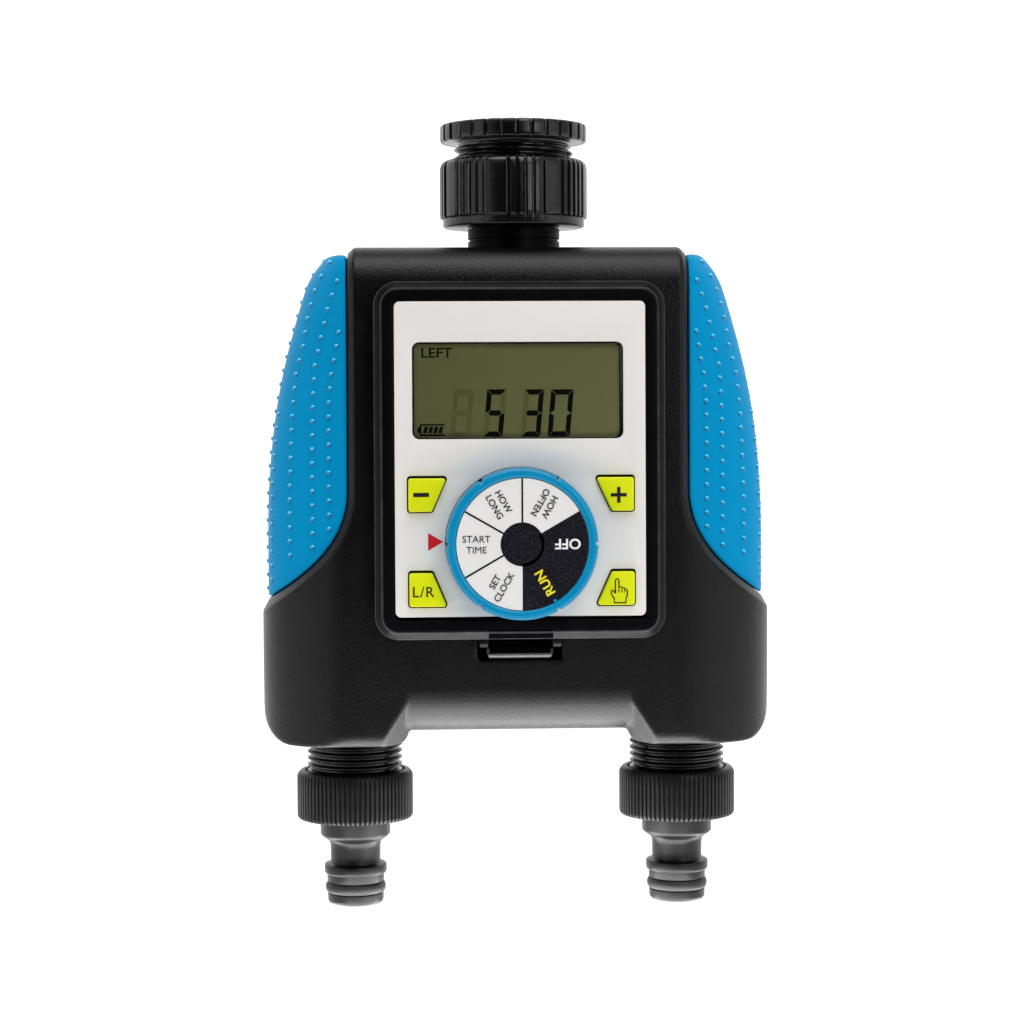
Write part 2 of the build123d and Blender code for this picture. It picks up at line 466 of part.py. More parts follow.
# battery side of the module
cells = None
tray = box(-31.0, 31.0, -25.7, -24.8, -54.0, -107.0)
tray = tray + box(-31.0, 31.0, -25.7, -15.2, -54.0, -55.2) + box(-31.0, 31.0, -25.7, -15.2, -105.8, -107.0) + box(-31.0, -29.8, -25.7, -15.2, -54.0, -107.0) + box(29.8, 31.0, -25.7, -15.2, -54.0, -107.0)
contacts = None
bsprings = None
for i, x in enumerate((-22.2, -7.4, 7.4, 22.2)):
    up = 1 if i % 2 == 0 else -1
    zc = -80.5
    c = cz(x, -19.4, 5.2, zc - 21.9, zc + 21.9) + cz(x, -19.4, 1.9, zc + up * 21.9, zc + up * 22.9)
    cells = c if cells is None else cells + c
    if i < 3:
        tray = tray + box(x + 7.0, x + 7.8, -25.7, -17.0, -55.2, -105.8)
    for e in (1, -1):
        z0 = -55.25 if e > 0 else -105.75
        p = box(x - 4.0, x + 4.0, -24.6, -16.0, z0, z0 - e * 0.4)
        contacts = p if contacts is None else contacts + p
    zs = zc - up * 21.95
    h = 2.65
    pth = Pos(x, -19.4, min(zs, zs - up * h) + 0.25) * Helix(pitch=0.8, height=h - 0.55, radius=2.6)
    s = sweep(Plane(pth @ 0, z_dir=pth % 0) * Circle(0.2), path=pth)
    bsprings = s if bsprings is None else bsprings + s
save(tray, "battery_tray")
save(cells, "battery_cells")
save(contacts, "battery_contacts")
save(bsprings, "battery_springs")

save(box(-9.5, 9.5, -22.0, -15.0, -127.4, -132.6), "contact_socket")
cover = rbox_y(-MOD_X, MOD_X, MOD_B, MOD_T, -14.3, MOD_BACK, 4.8)
cover = cover - rbox_y(-31.5, 31.5, -108.0, -53.5, -13.5, -10, 2.0) - rbox_y(-29.5, 29.5, -105.5, -55.5, -16, -10, 2.0)
cover = cover - box(-10.3, 10.3, -16, -10, -126.7, -133.3)
for (x, z) in MS:
    cover = cover - cy(x, z, 1.2, -16, -10) - cy(x, z, 2.1, -13.2, -10)
save(cover, "module_back_cover")
save(rbox_y(-31.35, 31.35, -107.85, -53.65, -13.45, MOD_BACK, 1.9) - box(-6, 6, -12.9, -12, -99.0, -101.5), "battery_door")
mscrews = None
for (x, z) in MS:
    s = cy(x, z, 1.95, -13.15, -12.45) + cy(x, z, 1.02, -13.0, -20.0)
    mscrews = s if mscrews is None else mscrews + s
save(mscrews, "module_screws")
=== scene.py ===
import bpy
import bmesh
import json
import math
import numpy as np
from mathutils import Vector, Matrix

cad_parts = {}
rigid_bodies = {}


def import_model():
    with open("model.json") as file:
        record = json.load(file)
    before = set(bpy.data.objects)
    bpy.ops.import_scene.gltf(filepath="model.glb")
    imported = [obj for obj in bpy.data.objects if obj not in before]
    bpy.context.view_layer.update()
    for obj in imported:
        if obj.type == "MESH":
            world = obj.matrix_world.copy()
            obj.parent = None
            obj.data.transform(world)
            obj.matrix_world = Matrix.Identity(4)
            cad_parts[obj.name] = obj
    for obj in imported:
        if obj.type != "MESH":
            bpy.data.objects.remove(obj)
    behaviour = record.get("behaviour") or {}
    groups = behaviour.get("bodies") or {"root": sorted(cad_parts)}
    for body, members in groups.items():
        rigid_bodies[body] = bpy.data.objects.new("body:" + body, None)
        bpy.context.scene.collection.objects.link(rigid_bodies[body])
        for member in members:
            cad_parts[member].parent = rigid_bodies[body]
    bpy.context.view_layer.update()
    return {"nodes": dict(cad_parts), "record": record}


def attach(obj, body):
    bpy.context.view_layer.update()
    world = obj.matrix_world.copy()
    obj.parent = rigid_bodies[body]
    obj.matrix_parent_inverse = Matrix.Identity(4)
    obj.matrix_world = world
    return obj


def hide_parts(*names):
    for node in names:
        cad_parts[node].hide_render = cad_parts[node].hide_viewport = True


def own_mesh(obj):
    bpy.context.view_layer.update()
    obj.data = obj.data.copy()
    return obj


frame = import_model()
MM = 0.001

# ---------------------------------------------------------------- dimensions (mm), the same as the CAD model's
SQ = 2.6
EDGE_X = 46.0
BODY_TOP, BODY_BOTTOM, WEB_BOTTOM = -34.8, -170.4, -166.6
FRONT_Y, REAR_Y = -26.0, 33.0
LOBE_IN_X = 29.9
OUTLET_X = 45.1
SPRING_Y = 6.0
DIAL_Z = -114.1
GRIP_W = [(-30.0, 45.5), (-34.8, 49.6), (-37.0, 52.1), (-38.7, 54.2), (-40.3, 55.3), (-43.1, 56.6), (-48.7, 58.9), (-54.3, 60.5),
          (-59.8, 62.1), (-65.4, 63.5), (-71.0, 64.7), (-76.5, 65.8), (-82.0, 66.7), (-87.7, 67.4), (-93.3, 67.9),
          (-98.9, 68.3), (-104.4, 68.6), (-112.0, 68.7), (-140.0, 68.7)]
BLACK_W = [(-30.0, 47.0), (-34.8, 51.0), (-37.0, 53.5), (-43.1, 58.0), (-54.3, 61.9), (-65.4, 64.9), (-76.5, 67.2), (-87.7, 68.8),
           (-98.9, 69.6), (-110.0, 70.1), (-131.0, 70.5), (-150.0, 70.45), (-160.0, 70.3), (-175.0, 70.1)]
ZB = [-32.0, -38.0, -45.0, -54.0, -66.0, -80.0, -97.0, -115.0, -133.0, -152.0, -174.0]
ZG = [-32.0, -37.0, -42.0, -48.0, -56.0, -66.0, -78.0, -92.0, -106.0, -122.0, -138.0]


# ================================================================ small mesh tools
def new_obj(name, verts, faces, smooth=True, scale=MM):
    me = bpy.data.meshes.new(name)
    me.from_pydata([tuple(v) for v in (np.asarray(verts, float) * scale)], [], [tuple(int(i) for i in f) for f in faces])
    me.validate()
    me.update()
    o = bpy.data.objects.new(name, me)
    bpy.context.scene.collection.objects.link(o)
    if smooth:
        me.polygons.foreach_set("use_smooth", [True] * len(me.polygons))
    return o


def new_obj_quads(name, verts, quads, normals=None):
    """big quad meshes, filled through arrays"""
    me = bpy.data.meshes.new(name)
    v = np.asarray(verts, np.float32) * MM
    q = np.asarray(quads, np.int32)
    me.vertices.add(len(v))
    me.vertices.foreach_set("co", v.ravel())
    me.loops.add(q.size)
    me.loops.foreach_set("vertex_index", q.ravel())
    me.polygons.add(len(q))
    me.polygons.foreach_set("loop_start", np.arange(len(q), dtype=np.int32) * 4)
    me.update(calc_edges=True)
    me.validate()
    me.polygons.foreach_set("use_smooth", [True] * len(me.polygons))
    o = bpy.data.objects.new(name, me)
    bpy.context.scene.collection.objects.link(o)
    if normals is not None and len(me.vertices) == len(normals):
        me.normals_split_custom_set_from_vertices([tuple(n) for n in normals])
    return o


def join(name, objs):
    """one object from several, through bmesh, keeping each one's smooth flags"""
    bm = bmesh.new()
    for o in objs:
        tmp = o.data.copy()
        tmp.transform(o.matrix_world)
        bm.from_mesh(tmp)
        bpy.data.meshes.remove(tmp)
    me = bpy.data.meshes.new(name)
    bm.to_mesh(me)
    bm.free()
    for o in objs:
        bpy.data.objects.remove(o)
    out = bpy.data.objects.new(name, me)
    bpy.context.scene.collection.objects.link(out)
    return out


def sharp(o, deg=32):
    """marks edges sharper than deg so smooth shading breaks there"""
    me = o.data
    bm = bmesh.new()
    bm.from_mesh(me)
    lim = math.radians(deg)
    for e in bm.edges:
        if len(e.link_faces) == 2:
            e.smooth = e.calc_face_angle(0) < lim
        else:
            e.smooth = False
    bm.to_mesh(me)
    bm.free()
    return o


def bevelled(o, width=0.3, seg=2, deg=32):
    """rounds edges by geometry, applied"""
    m = o.modifiers.new("bev", "BEVEL")
    m.width = width * MM
    m.segments = seg
    m.limit_method = "ANGLE"
    m.angle_limit = math.radians(deg)
    m.use_clamp_overlap = True
    m.harden_normals = False
    apply_mods(o)
    return o


def apply_mods(o):
    dg = bpy.context.evaluated_depsgraph_get()
    dg.update()
    me = bpy.data.meshes.new_from_object(o.evaluated_get(dg))
    me.name = o.name
    old = o.data
    o.modifiers.clear()
    o.data = me
    if old.users == 0:
        bpy.data.meshes.remove(old)


def loft(name, loops, cap_start=True, cap_end=True, closed=True, deg=35):
    """skin over loops of the same length; each loop is a closed ring of 3-D points"""
    n = len(loops[0])
    verts = [p for l in loops for p in l]
    faces = []
    for k in range(len(loops) - 1):
        for i in range(n if closed else n - 1):
            j = (i + 1) % n
            faces.append((k * n + i, k * n + j, (k + 1) * n + j, (k + 1) * n + i))
    if cap_start:
        faces.append(tuple(range(n))[::-1])
    if cap_end:
        faces.append(tuple(range((len(loops) - 1) * n, len(loops) * n)))
    o = new_obj(name, verts, faces)
    fix_normals(o)
    return sharp(o, deg)


def fix_normals(o):
    bm = bmesh.new()
    bm.from_mesh(o.data)
    bmesh.ops.recalc_face_normals(bm, faces=bm.faces[:])
    bm.to_mesh(o.data)
    bm.free()


def rrect(x0, x1, z0, z1, r, n=8):
    """points of a rounded rectangle in the XZ plane, one way round"""
    x0, x1 = min(x0, x1), max(x0, x1)
    z0, z1 = min(z0, z1), max(z0, z1)
    pts = []
    for cx, cz, a0 in ((x1 - r, z1 - r, 0), (x0 + r, z1 - r, 90), (x0 + r, z0 + r, 180), (x1 - r, z0 + r, 270)):
        for i in range(n + 1):
            a = math.radians(a0 + 90.0 * i / n)
            pts.append((cx + r * math.cos(a), cz + r * math.sin(a)))
    return pts


def at_y(pts, y):
    return [(p[0], y, p[1]) for p in pts]


def fillet_steps(r, n=4):
    """(offset, rise) pairs of a quarter round, from the side wall to the face"""
    return [(r * (1 - math.cos(math.pi / 2 * i / n)), r * math.sin(math.pi / 2 * i / n)) for i in range(n + 1)]


def lathe(name, profile, centre=(0, 0), nseg=160, radius=None, axis="Z", closed_profile=True, deg=30, y_off=0.0):
    """revolved skin. profile: (r, z) points around the closed section; radius(k, theta, r, z) may change r"""
    th = np.linspace(0, 2 * math.pi, nseg, endpoint=False)
    verts = []
    for k, (r, z) in enumerate(profile):
        for t in th:
            rr = radius(k, t, r, z) if radius else r
            if axis == "Z":
                verts.append((centre[0] + rr * math.cos(t), centre[1] + rr * math.sin(t), z))
            else:            # about Y: z is the y place, centre is (x, z)
                verts.append((centre[0] + rr * math.cos(t), z, centre[1] + rr * math.sin(t)))
    faces = []
    m = len(profile)
    for k in range(m if closed_profile else m - 1):
        k2 = (k + 1) % m
        for i in range(nseg):
            j = (i + 1) % nseg
            faces.append((k * nseg + i, k * nseg + j, k2 * nseg + j, k2 * nseg + i))
    o = new_obj(name, verts, faces)
    bm = bmesh.new()
    bm.from_mesh(o.data)
    bmesh.ops.remove_doubles(bm, verts=bm.verts[:], dist=1e-7)
    bmesh.ops.dissolve_degenerate(bm, dist=1e-7, edges=bm.edges[:])
    bmesh.ops.recalc_face_normals(bm, faces=bm.faces[:])
    bm.to_mesh(o.data)
    bm.free()
    return sharp(o, deg)


def round_profile(pts, r=0.3, n=3, closed=True):
    """rounds the corners of a polyline of (r, z) points"""
    out = []
    m = len(pts)
    for i in range(m):
        p = np.array(pts[i][:2], float)
        rad = pts[i][2] if len(pts[i]) > 2 else r
        if not closed and i in (0, m - 1) or rad <= 0:
            out.append(tuple(p))
            continue
        a = np.array(pts[(i - 1) % m][:2], float) - p
        b = np.array(pts[(i + 1) % m][:2], float) - p
        la, lb = np.linalg.norm(a), np.linalg.norm(b)
        if la < 1e-9 or lb < 1e-9:
            out.append(tuple(p))
            continue
        a, b = a / la, b / lb
        cosang = float(np.clip(a @ b, -1, 1))
        ang = math.acos(cosang)
        if ang > math.radians(176) or ang < math.radians(4):
            out.append(tuple(p))
            continue
        d = min(rad / math.tan(ang / 2), 0.45 * la, 0.45 * lb)
        rr = d * math.tan(ang / 2)
        bis = (a + b) / np.linalg.norm(a + b)
        c = p + bis * (rr / math.sin(ang / 2))
        p0, p1 = p + a * d, p + b * d
        a0 = math.atan2(p0[1] - c[1], p0[0] - c[0])
        a1 = math.atan2(p1[1] - c[1], p1[0] - c[0])
        while a1 - a0 > math.pi:
            a1 -= 2 * math.pi
        while a1 - a0 < -math.pi:
            a1 += 2 * math.pi
        for k in range(n + 1):
            t = a0 + (a1 - a0) * k / n
            out.append((c[0] + rr * math.cos(t), c[1] + rr * math.sin(t)))
    return out


# ================================================================ solid fields for the moulded shells
def smin(a, b, k):
    h = np.clip(0.5 + 0.5 * (b - a) / k, 0, 1)
    return b + (a - b) * h - k * h * (1 - h)


def smax(a, b, k):
    return -smin(-a, -b, k)


def cheb(a, b, c):
    """intersection of two solids with a flat bevel of leg c"""
    return np.maximum(np.maximum(a, b), (a + b + c) * 0.70711)


def table_fn(table, knots):
    """the smooth curve through the table's values at the knots, as the CAD loft has it"""
    zs = np.array(knots[::-1], float)
    tz = np.array([t[0] for t in table][::-1], float)
    tw = np.array([t[1] for t in table][::-1], float)
    ws = np.interp(zs, tz, tw)
    n = len(zs)
    hseg = np.diff(zs)
    A = np.zeros((n, n))
    rhs = np.zeros(n)
    A[0, 0] = A[-1, -1] = 1
    for i in range(1, n - 1):
        A[i, i - 1] = hseg[i - 1]
        A[i, i] = 2 * (hseg[i - 1] + hseg[i])
        A[i, i + 1] = hseg[i]
        rhs[i] = 6 * ((ws[i + 1] - ws[i]) / hseg[i] - (ws[i] - ws[i - 1]) / hseg[i - 1])
    M = np.linalg.solve(A, rhs)

    def f(z):
        z = np.clip(np.asarray(z, float), zs[0], zs[-1])
        i = np.clip(np.searchsorted(zs, z) - 1, 0, n - 2)
        h = hseg[i]
        a = (zs[i + 1] - z) / h
        b = (z - zs[i]) / h
        return a * ws[i] + b * ws[i + 1] + ((a ** 3 - a) * M[i] + (b ** 3 - b) * M[i + 1]) * h * h / 6
    return f


W_BLACK = table_fn(BLACK_W, ZB)
W_GRIP = table_fn(GRIP_W, ZG)


def envelope(X, Y, Z, wf, inset, hf, hr, full):
    w0 = wf(Z)
    w = w0 - inset
    h = np.where(Y < 0, hf + (full - w0) * 0.45, hr + (full - w0) * 0.55) - inset
    a, b = np.abs(X) / w, np.abs(Y) / h
    s = (a ** SQ + b ** SQ) ** (1 / SQ) + 1e-6
    gx = a ** (SQ - 1) * s ** (1 - SQ) / w
    gy = b ** (SQ - 1) * s ** (1 - SQ) / h
    return (s - 1) / np.sqrt(gx * gx + gy * gy + 1e-9)


def slab(Y, Z, yf, yr, zt, zb, rtf, rbf, rtr, rbr):
    cy, cz = (yf + yr) / 2, (zt + zb) / 2
    hy, hz = (yr - yf) / 2, (zt - zb) / 2
    r = np.where(Y < cy, np.where(Z > cz, rtf, rbf), np.where(Z > cz, rtr, rbr))
    qy, qz = np.abs(Y - cy) - hy + r, np.abs(Z - cz) - hz + r
    return np.minimum(np.maximum(qy, qz), 0) + np.sqrt(np.maximum(qy, 0) ** 2 + np.maximum(qz, 0) ** 2) - r


def rbox2(X, Z, x0, x1, z0, z1, r):
    cx, cz = (x0 + x1) / 2, (z0 + z1) / 2
    qx, qz = np.abs(X - cx) - abs(x1 - x0) / 2 + r, np.abs(Z - cz) - abs(z1 - z0) / 2 + r
    return np.minimum(np.maximum(qx, qz), 0) + np.sqrt(np.maximum(qx, 0) ** 2 + np.maximum(qz, 0) ** 2) - r


def box3(X, Y, Z, x0, x1, y0, y1, z0, z1):
    qx = np.abs(X - (x0 + x1) / 2) - abs(x1 - x0) / 2
    qy = np.abs(Y - (y0 + y1) / 2) - abs(y1 - y0) / 2
    qz = np.abs(Z - (z0 + z1) / 2) - abs(z1 - z0) / 2
    return np.minimum(np.maximum(np.maximum(qx, qy), qz), 0) + np.sqrt(np.maximum(qx, 0) ** 2 + np.maximum(qy, 0) ** 2 + np.maximum(qz, 0) ** 2)


def hermite(p0, p1, m0, m1, n=20):
    t = np.linspace(0, 1, n)[:, None]
    return (2 * t ** 3 - 3 * t ** 2 + 1) * p0 + (t ** 3 - 2 * t ** 2 + t) * m0 + (-2 * t ** 3 + 3 * t ** 2) * p1 + (t ** 3 - t ** 2) * m1


def region_line():
    """the grips' inner and lower edge in the front view, x > 0"""
    K = np.array([(46.0, -101.0), (47.6, -109.5), (51.8, -116.8), (58.6, -123.6), (69.0, -131.2), (76.0, -136.0)])
    d = np.zeros_like(K)
    d[0] = (0, -1)
    d[1:-1] = K[2:] - K[:-2]
    d[-1] = (0.8, -0.55)
    d /= np.linalg.norm(d, axis=1)[:, None]
    out = [np.array([(46.0, -20.0)])]
    for i in range(len(K) - 1):
        L = np.linalg.norm(K[i + 1] - K[i])
        out.append(hermite(K[i], K[i + 1], d[i] * L, d[i + 1] * L, 16)[(0 if i == 0 else 1):])
    return np.vstack(out)


def poly_dist(xs, zs, line):
    """signed distance in the front view to the grips' region: negative inside it. Grid of |x| by z"""
    X, Z = np.meshgrid(xs, zs, indexing="ij")
    best = np.full(X.shape, 1e9)
    for a, b in zip(line[:-1], line[1:]):
        d = b - a
        L2 = d @ d
        t = np.clip(((X - a[0]) * d[0] + (Z - a[1]) * d[1]) / L2, 0, 1)
        best = np.minimum(best, np.hypot(X - a[0] - t * d[0], Z - a[1] - t * d[1]))
    # x of the line at each height decides the side
    lx, lz = line[:, 0], line[:, 1]
    xl = np.interp(-Z, -lz, lx)
    inside = X > xl
    return np.where(inside, -best, best)


def surface_nets(F, lo, h):
    S = F < 0
    nx, ny, nz = F.shape
    cnt = np.zeros((nx - 1, ny - 1, nz - 1), np.uint8)
    for i in (0, 1):
        for j in (0, 1):
            for k in (0, 1):
                cnt += S[i:nx - 1 + i, j:ny - 1 + j, k:nz - 1 + k]
    mask = (cnt > 0) & (cnt < 8)
    ci, cj, ck = np.nonzero(mask)
    idx = np.full(mask.shape, -1, np.int32)
    idx[ci, cj, ck] = np.arange(len(ci))
    acc = np.zeros((len(ci), 3))
    num = np.zeros(len(ci))
    corners = [(i, j, k) for i in (0, 1) for j in (0, 1) for k in (0, 1)]
    for a in corners:
        for ax in range(3):
            if a[ax] == 0:
                b = list(a)
                b[ax] = 1
                fa = F[ci + a[0], cj + a[1], ck + a[2]].astype(float)
                fb = F[ci + b[0], cj + b[1], ck + b[2]].astype(float)
                cross = (fa < 0) != (fb < 0)
                t = np.where(cross, fa / np.where(cross, fa - fb, 1), 0)
                for d in range(3):
                    acc[:, d] += np.where(cross, a[d] + (t if d == ax else 0), 0)
                num += cross
    P = acc / num[:, None] + np.stack([ci, cj, ck], 1)
    quads = []
    for ax, (u, v) in enumerate(((1, 2), (2, 0), (0, 1))):
        sl0 = [slice(None)] * 3
        sl1 = [slice(None)] * 3
        sl0[ax] = slice(0, -1)
        sl1[ax] = slice(1, None)
        A, B = S[tuple(sl0)], S[tuple(sl1)]
        ch = A != B
        # only edges with four cells round them
        I = np.nonzero(ch)
        g = [I[0], I[1], I[2]]
        ok = (g[u] > 0) & (g[v] > 0) & (g[u] < F.shape[u] - 1) & (g[v] < F.shape[v] - 1)
        g = [x[ok] for x in g]
        flip = A[tuple(g)]
        def cell(du, dv):
            c = [x.copy() for x in g]
            c[u] = c[u] - du
            c[v] = c[v] - dv
            return idx[c[0], c[1], c[2]]
        q = np.stack([cell(1, 1), cell(0, 1), cell(0, 0), cell(1, 0)], 1)
        q[~flip] = q[~flip][:, ::-1]
        quads.append(q)
    quads = np.vstack(quads)
    quads = quads[(quads >= 0).all(1)]

    # field values and gradients by trilinear lookup
    def look(G, P):
        i = np.clip(np.floor(P).astype(int), 0, np.array(F.shape) - 2)
        f = P - i
        out = 0
        for dx in (0, 1):
            for dy in (0, 1):
                for dz in (0, 1):
                    w = (f[:, 0] if dx else 1 - f[:, 0]) * (f[:, 1] if dy else 1 - f[:, 1]) * (f[:, 2] if dz else 1 - f[:, 2])
                    out = out + w * G[i[:, 0] + dx, i[:, 1] + dy, i[:, 2] + dz]
        return out
    def grad(P, e=0.5):
        g = np.zeros_like(P)
        for d in range(3):
            dp = np.zeros(3)
            dp[d] = e
            g[:, d] = (look(F, P + dp) - look(F, P - dp)) / (2 * e)
        return g
    for _ in range(2):
        g = grad(P, 0.35)
        step = look(F, P)[:, None] * g / np.maximum((g * g).sum(1), 1e-6)[:, None]
        L = np.linalg.norm(step, axis=1)
        step *= np.minimum(1, 0.35 / np.maximum(L, 1e-9))[:, None]
        P = P - 0.8 * step
    g = grad(P, 0.6)
    N = g / np.maximum(np.linalg.norm(g, axis=1), 1e-9)[:, None]
    return P * h + np.array(lo), quads, N


def grid(lo, hi, h):
    ax = [np.arange(lo[d], hi[d] + h, h, dtype=np.float32) for d in range(3)]
    X, Y, Z = np.meshgrid(*ax, indexing="ij")
    return ax, X, Y, Z


SCREWS = [(sx * x, z, y) for sx in (-1, 1) for (x, z, y) in ((24.0, -40.6, 27.0), (42.0, -55.0, 27.0), (61.0, -156.5, 15.0), (14.0, -157.5, 26.0))]
LINE = region_line()
BEVEL = 1.75


def black_field(ax, X, Y, Z, front):
    env = envelope(X, Y, Z, W_BLACK, 0.0, 31.0, 36.2, 70.4)
    aX = np.abs(X)
    # lobes at the sides, with a facet towards the middle
    sl = slab(Y, Z, FRONT_Y, REAR_Y, BODY_TOP, BODY_BOTTOM, 10.0, 4.0, 9.0, 6.0)
    corner = rbox2(aX, Z, -80.0, 70.35, BODY_BOTTOM, 0.0, 10.0)
    lobe = smax(smax(env, sl, 1.2), corner, 1.0)
    inner_wall = smax(LOBE_IN_X - aX, BODY_BOTTOM - Z, 5.0)
    lobe = smax(lobe, inner_wall, 0.9)
    if front:
        facet = (-0.704 * (aX - 30.0) - 0.542 * (Y + 26.0) - 0.458 * (Z + 157.5))
        lobe = smax(lobe, facet, 0.5)
    sw = slab(Y, Z, FRONT_Y, REAR_Y, BODY_TOP, WEB_BOTTOM, 10.0, 12.5, 9.0, 6.0)
    web = np.maximum(sw, aX - LOBE_IN_X - 1.0)
    web = smax(web, env, 1.2)
    # the web and the lobes share their faces above the lobes' inner walls, so the union is rounded only low down
    low = np.clip((WEB_BOTTOM + 5.0 - Z) / 3.0, 0.0, 1.0)
    A = np.minimum(lobe, web) * (1 - low) + smin(lobe, web, 0.8) * low
    # pockets the grips sit in, with a flat bevel along their edge
    D2 = poly_dist(np.abs(ax[0]), ax[2], LINE)
    reg = D2[:, None, :].astype(np.float32)
    cut_wall = -(reg - 0.10)
    core = np.maximum(envelope(X, Y, Z, W_GRIP, 2.6, 28.4, 34.9, 68.6), slab(Y, Z, -22.6, 29.0, BODY_TOP - 3.8, BODY_BOTTOM - 20, 8.0, 5.0, 7.0, 6.0))
    outside = cheb(A, cut_wall, BEVEL)
    A = np.minimum(np.maximum(outside, cut_wall), np.maximum(A, core))
    # hollow inside
    inner = np.maximum(envelope(X, Y, Z, W_BLACK, 4.8, 31.0, 36.2, 70.4), slab(Y, Z, FRONT_Y + 2.5, REAR_Y - 2.5, BODY_TOP - 2.5, WEB_BOTTOM + 2.5, 7.5, 9.0, 6.5, 6.0))
    if front:
        pocket_wall = np.maximum(rbox2(X, Z, -38.3, 38.3, -138.9, -46.1, 6.0), Y + 10.2)
        latch_wall = box3(X, Y, Z, -13.2, 13.2, -30, -15.2, -148.0, -138.0)
        inner = np.maximum(inner, -np.minimum(pocket_wall, latch_wall))
    for (sx, sz, sy) in SCREWS:
        rr = 3.4 if front else 4.35
        inner = np.maximum(inner, rr - np.hypot(X - sx, Z - sz))
    A = np.maximum(A, -inner)
    if front:
        pocket = np.maximum(rbox2(X, Z, -36.4, 36.4, -137.0, -48.0, 5.0), Y + 12.0)
        A = smax(A, -pocket, 0.5)
        latch = np.maximum(rbox2(X, Z, -11.3, 11.3, -146.3, -136.0, 0.9), Y + 17.0)
        A = smax(A, -latch, 0.7)
        A = np.maximum(A, -box3(X, Y, Z, -10.2, 10.2, -13, -9, -133.2, -126.8))
    A = smax(A, -np.maximum(np.hypot(X, Y) - 12.9, -42.0 - Z), 0.4)
    A = smax(A, -np.maximum(np.hypot(aX - OUTLET_X, Y) - 11.2, Z + 160.0), 0.4)
    for (sx, sz, sy) in SCREWS:
        rad = np.hypot(X - sx, Z - sz)
        if not front:
            A = smax(A, -np.maximum(rad - 3.15, sy - Y), 0.35)
        A = np.maximum(A, -np.maximum(rad - 1.65, -13.0 - Y))
    # seam: each shell ends at its rim with a small round, which leaves a fine groove between them
    rim = (Y + 0.04) if front else (0.04 - Y)
    A = smax(A, rim, 0.55)
    return A


def housing(name, front, h):
    lo = (-71.5, -27.2, -172.2) if front else (-71.5, -1.2, -172.2)
    hi = (71.5, 1.2, -33.6) if front else (71.5, 34.2, -33.6)
    ax, X, Y, Z = grid(lo, hi, h)
    F = black_field(ax, X, Y, Z, front).astype(np.float32)
    V, Q, N = surface_nets(F, lo, h)
    return new_obj_quads(name, V, Q, N)


def grip_field(ax, X, Y, Z):
    env = envelope(X, Y, Z, W_GRIP, 0.0, 28.4, 34.9, 68.6)
    sl = slab(Y, Z, -25.2, 31.5, BODY_TOP - 2.0, BODY_BOTTOM, 10.0, 5.0, 9.0, 6.0)
    A = smax(env, sl, 1.0)
    D2 = poly_dist(np.abs(ax[0]), ax[2], LINE)
    reg = D2[:, None, :].astype(np.float32) + 0.16
    A = smax(A, reg + 0 * X, 0.9)
    core = np.maximum(envelope(X, Y, Z, W_GRIP, 2.5, 28.4, 34.9, 68.6), slab(Y, Z, -22.7, 29.1, BODY_TOP - 3.7, BODY_BOTTOM - 20, 8.0, 5.0, 7.0, 6.0))
    return np.maximum(A, -core)


DOTS_A = [(-57.97, 48.13), (-65.6, 49.5), (-69.3, 50.3), (-77.0, 50.95), (-85.0, 51.1), (-113.0, 51.1)]
DOTS_B = [(-44.15, 48.5), (-47.96, 49.9), (-51.6, 51.1), (-55.4, 52.05), (-58.8, 53.0), (-62.8, 53.7), (-66.6, 54.7), (-73.9, 55.2),
          (-81.7, 55.5), (-93.1, 55.65), (-117.0, 55.67)]
DOTS_C = [(-38.9, 50.6), (-43.1, 53.2), (-47.0, 55.0), (-54.1, 56.8), (-61.3, 57.9), (-65.3, 59.0), (-69.1, 60.0), (-73.0, 60.45),
          (-81.2, 61.2), (-88.8, 61.45), (-96.6, 61.75), (-104.4, 61.95), (-121.0, 61.95)]


def grip_surface_point(z, phi, rear=False):
    """a point on the grip's skin; phi is a table of x by height, or a share: 1 at the inner edge, 0 at the silhouette"""
    w = float(W_GRIP(z))
    h = (34.9 + (68.6 - w) * 0.55) if rear else (28.4 + (68.6 - w) * 0.45)
    if isinstance(phi, list):
        x = min(float(np.interp(-z, [-t[0] for t in phi], [t[1] for t in phi])), w * 0.999)
    else:
        x = EDGE_X + (1 - phi) * (w - EDGE_X)
    y = h * max(0.0, 1 - (x / w) ** SQ) ** (1 / SQ)
    return np.array([x, y if rear else -y, z])


def grip_mesh(name, side, h):
    lo, hi = (44.6, -26.6, -133.6), (70.2, 33.0, -34.4)
    ax, X, Y, Z = grid(lo, hi, h)
    F = grip_field(ax, X, Y, Z).astype(np.float32)
    V, Q, N = surface_nets(F, lo, h)
    if side < 0:
        V = V * np.array([-1, 1, 1])
        N = N * np.array([-1, 1, 1])
        Q = Q[:, ::-1]
    return new_obj_quads(name, V, Q, N)


def field_at(points, fn):
    P = np.asarray(points, float)
    return fn(P[:, 0], P[:, 1], P[:, 2])


def grip_skin_value(P):
    X, Y, Z = P[..., 0], P[..., 1], P[..., 2]
    env = envelope(X, Y, Z, W_GRIP, 0.0, 28.4, 34.9, 68.6)
    sl = slab(Y, Z, -25.2, 31.5, BODY_TOP - 1.2, BODY_BOTTOM, 10.0, 5.0, 9.0, 6.0)
    return smax(env, sl, 1.0)


def project(p, it=6):
    p = np.array(p, float)
    for _ in range(it):
        e = 0.05
        g = np.array([(grip_skin_value((p + d)[None])[0] - grip_skin_value((p - d)[None])[0]) / (2 * e) for d in np.eye(3) * e])
        f = grip_skin_value(p[None])[0]
        n2 = float(g @ g)
        p = p - f * g / max(n2, 1e-6)
    return p, g / max(np.linalg.norm(g), 1e-6)


def region_x(z):
    return float(np.interp(-z, -LINE[:, 1], LINE[:, 0]))


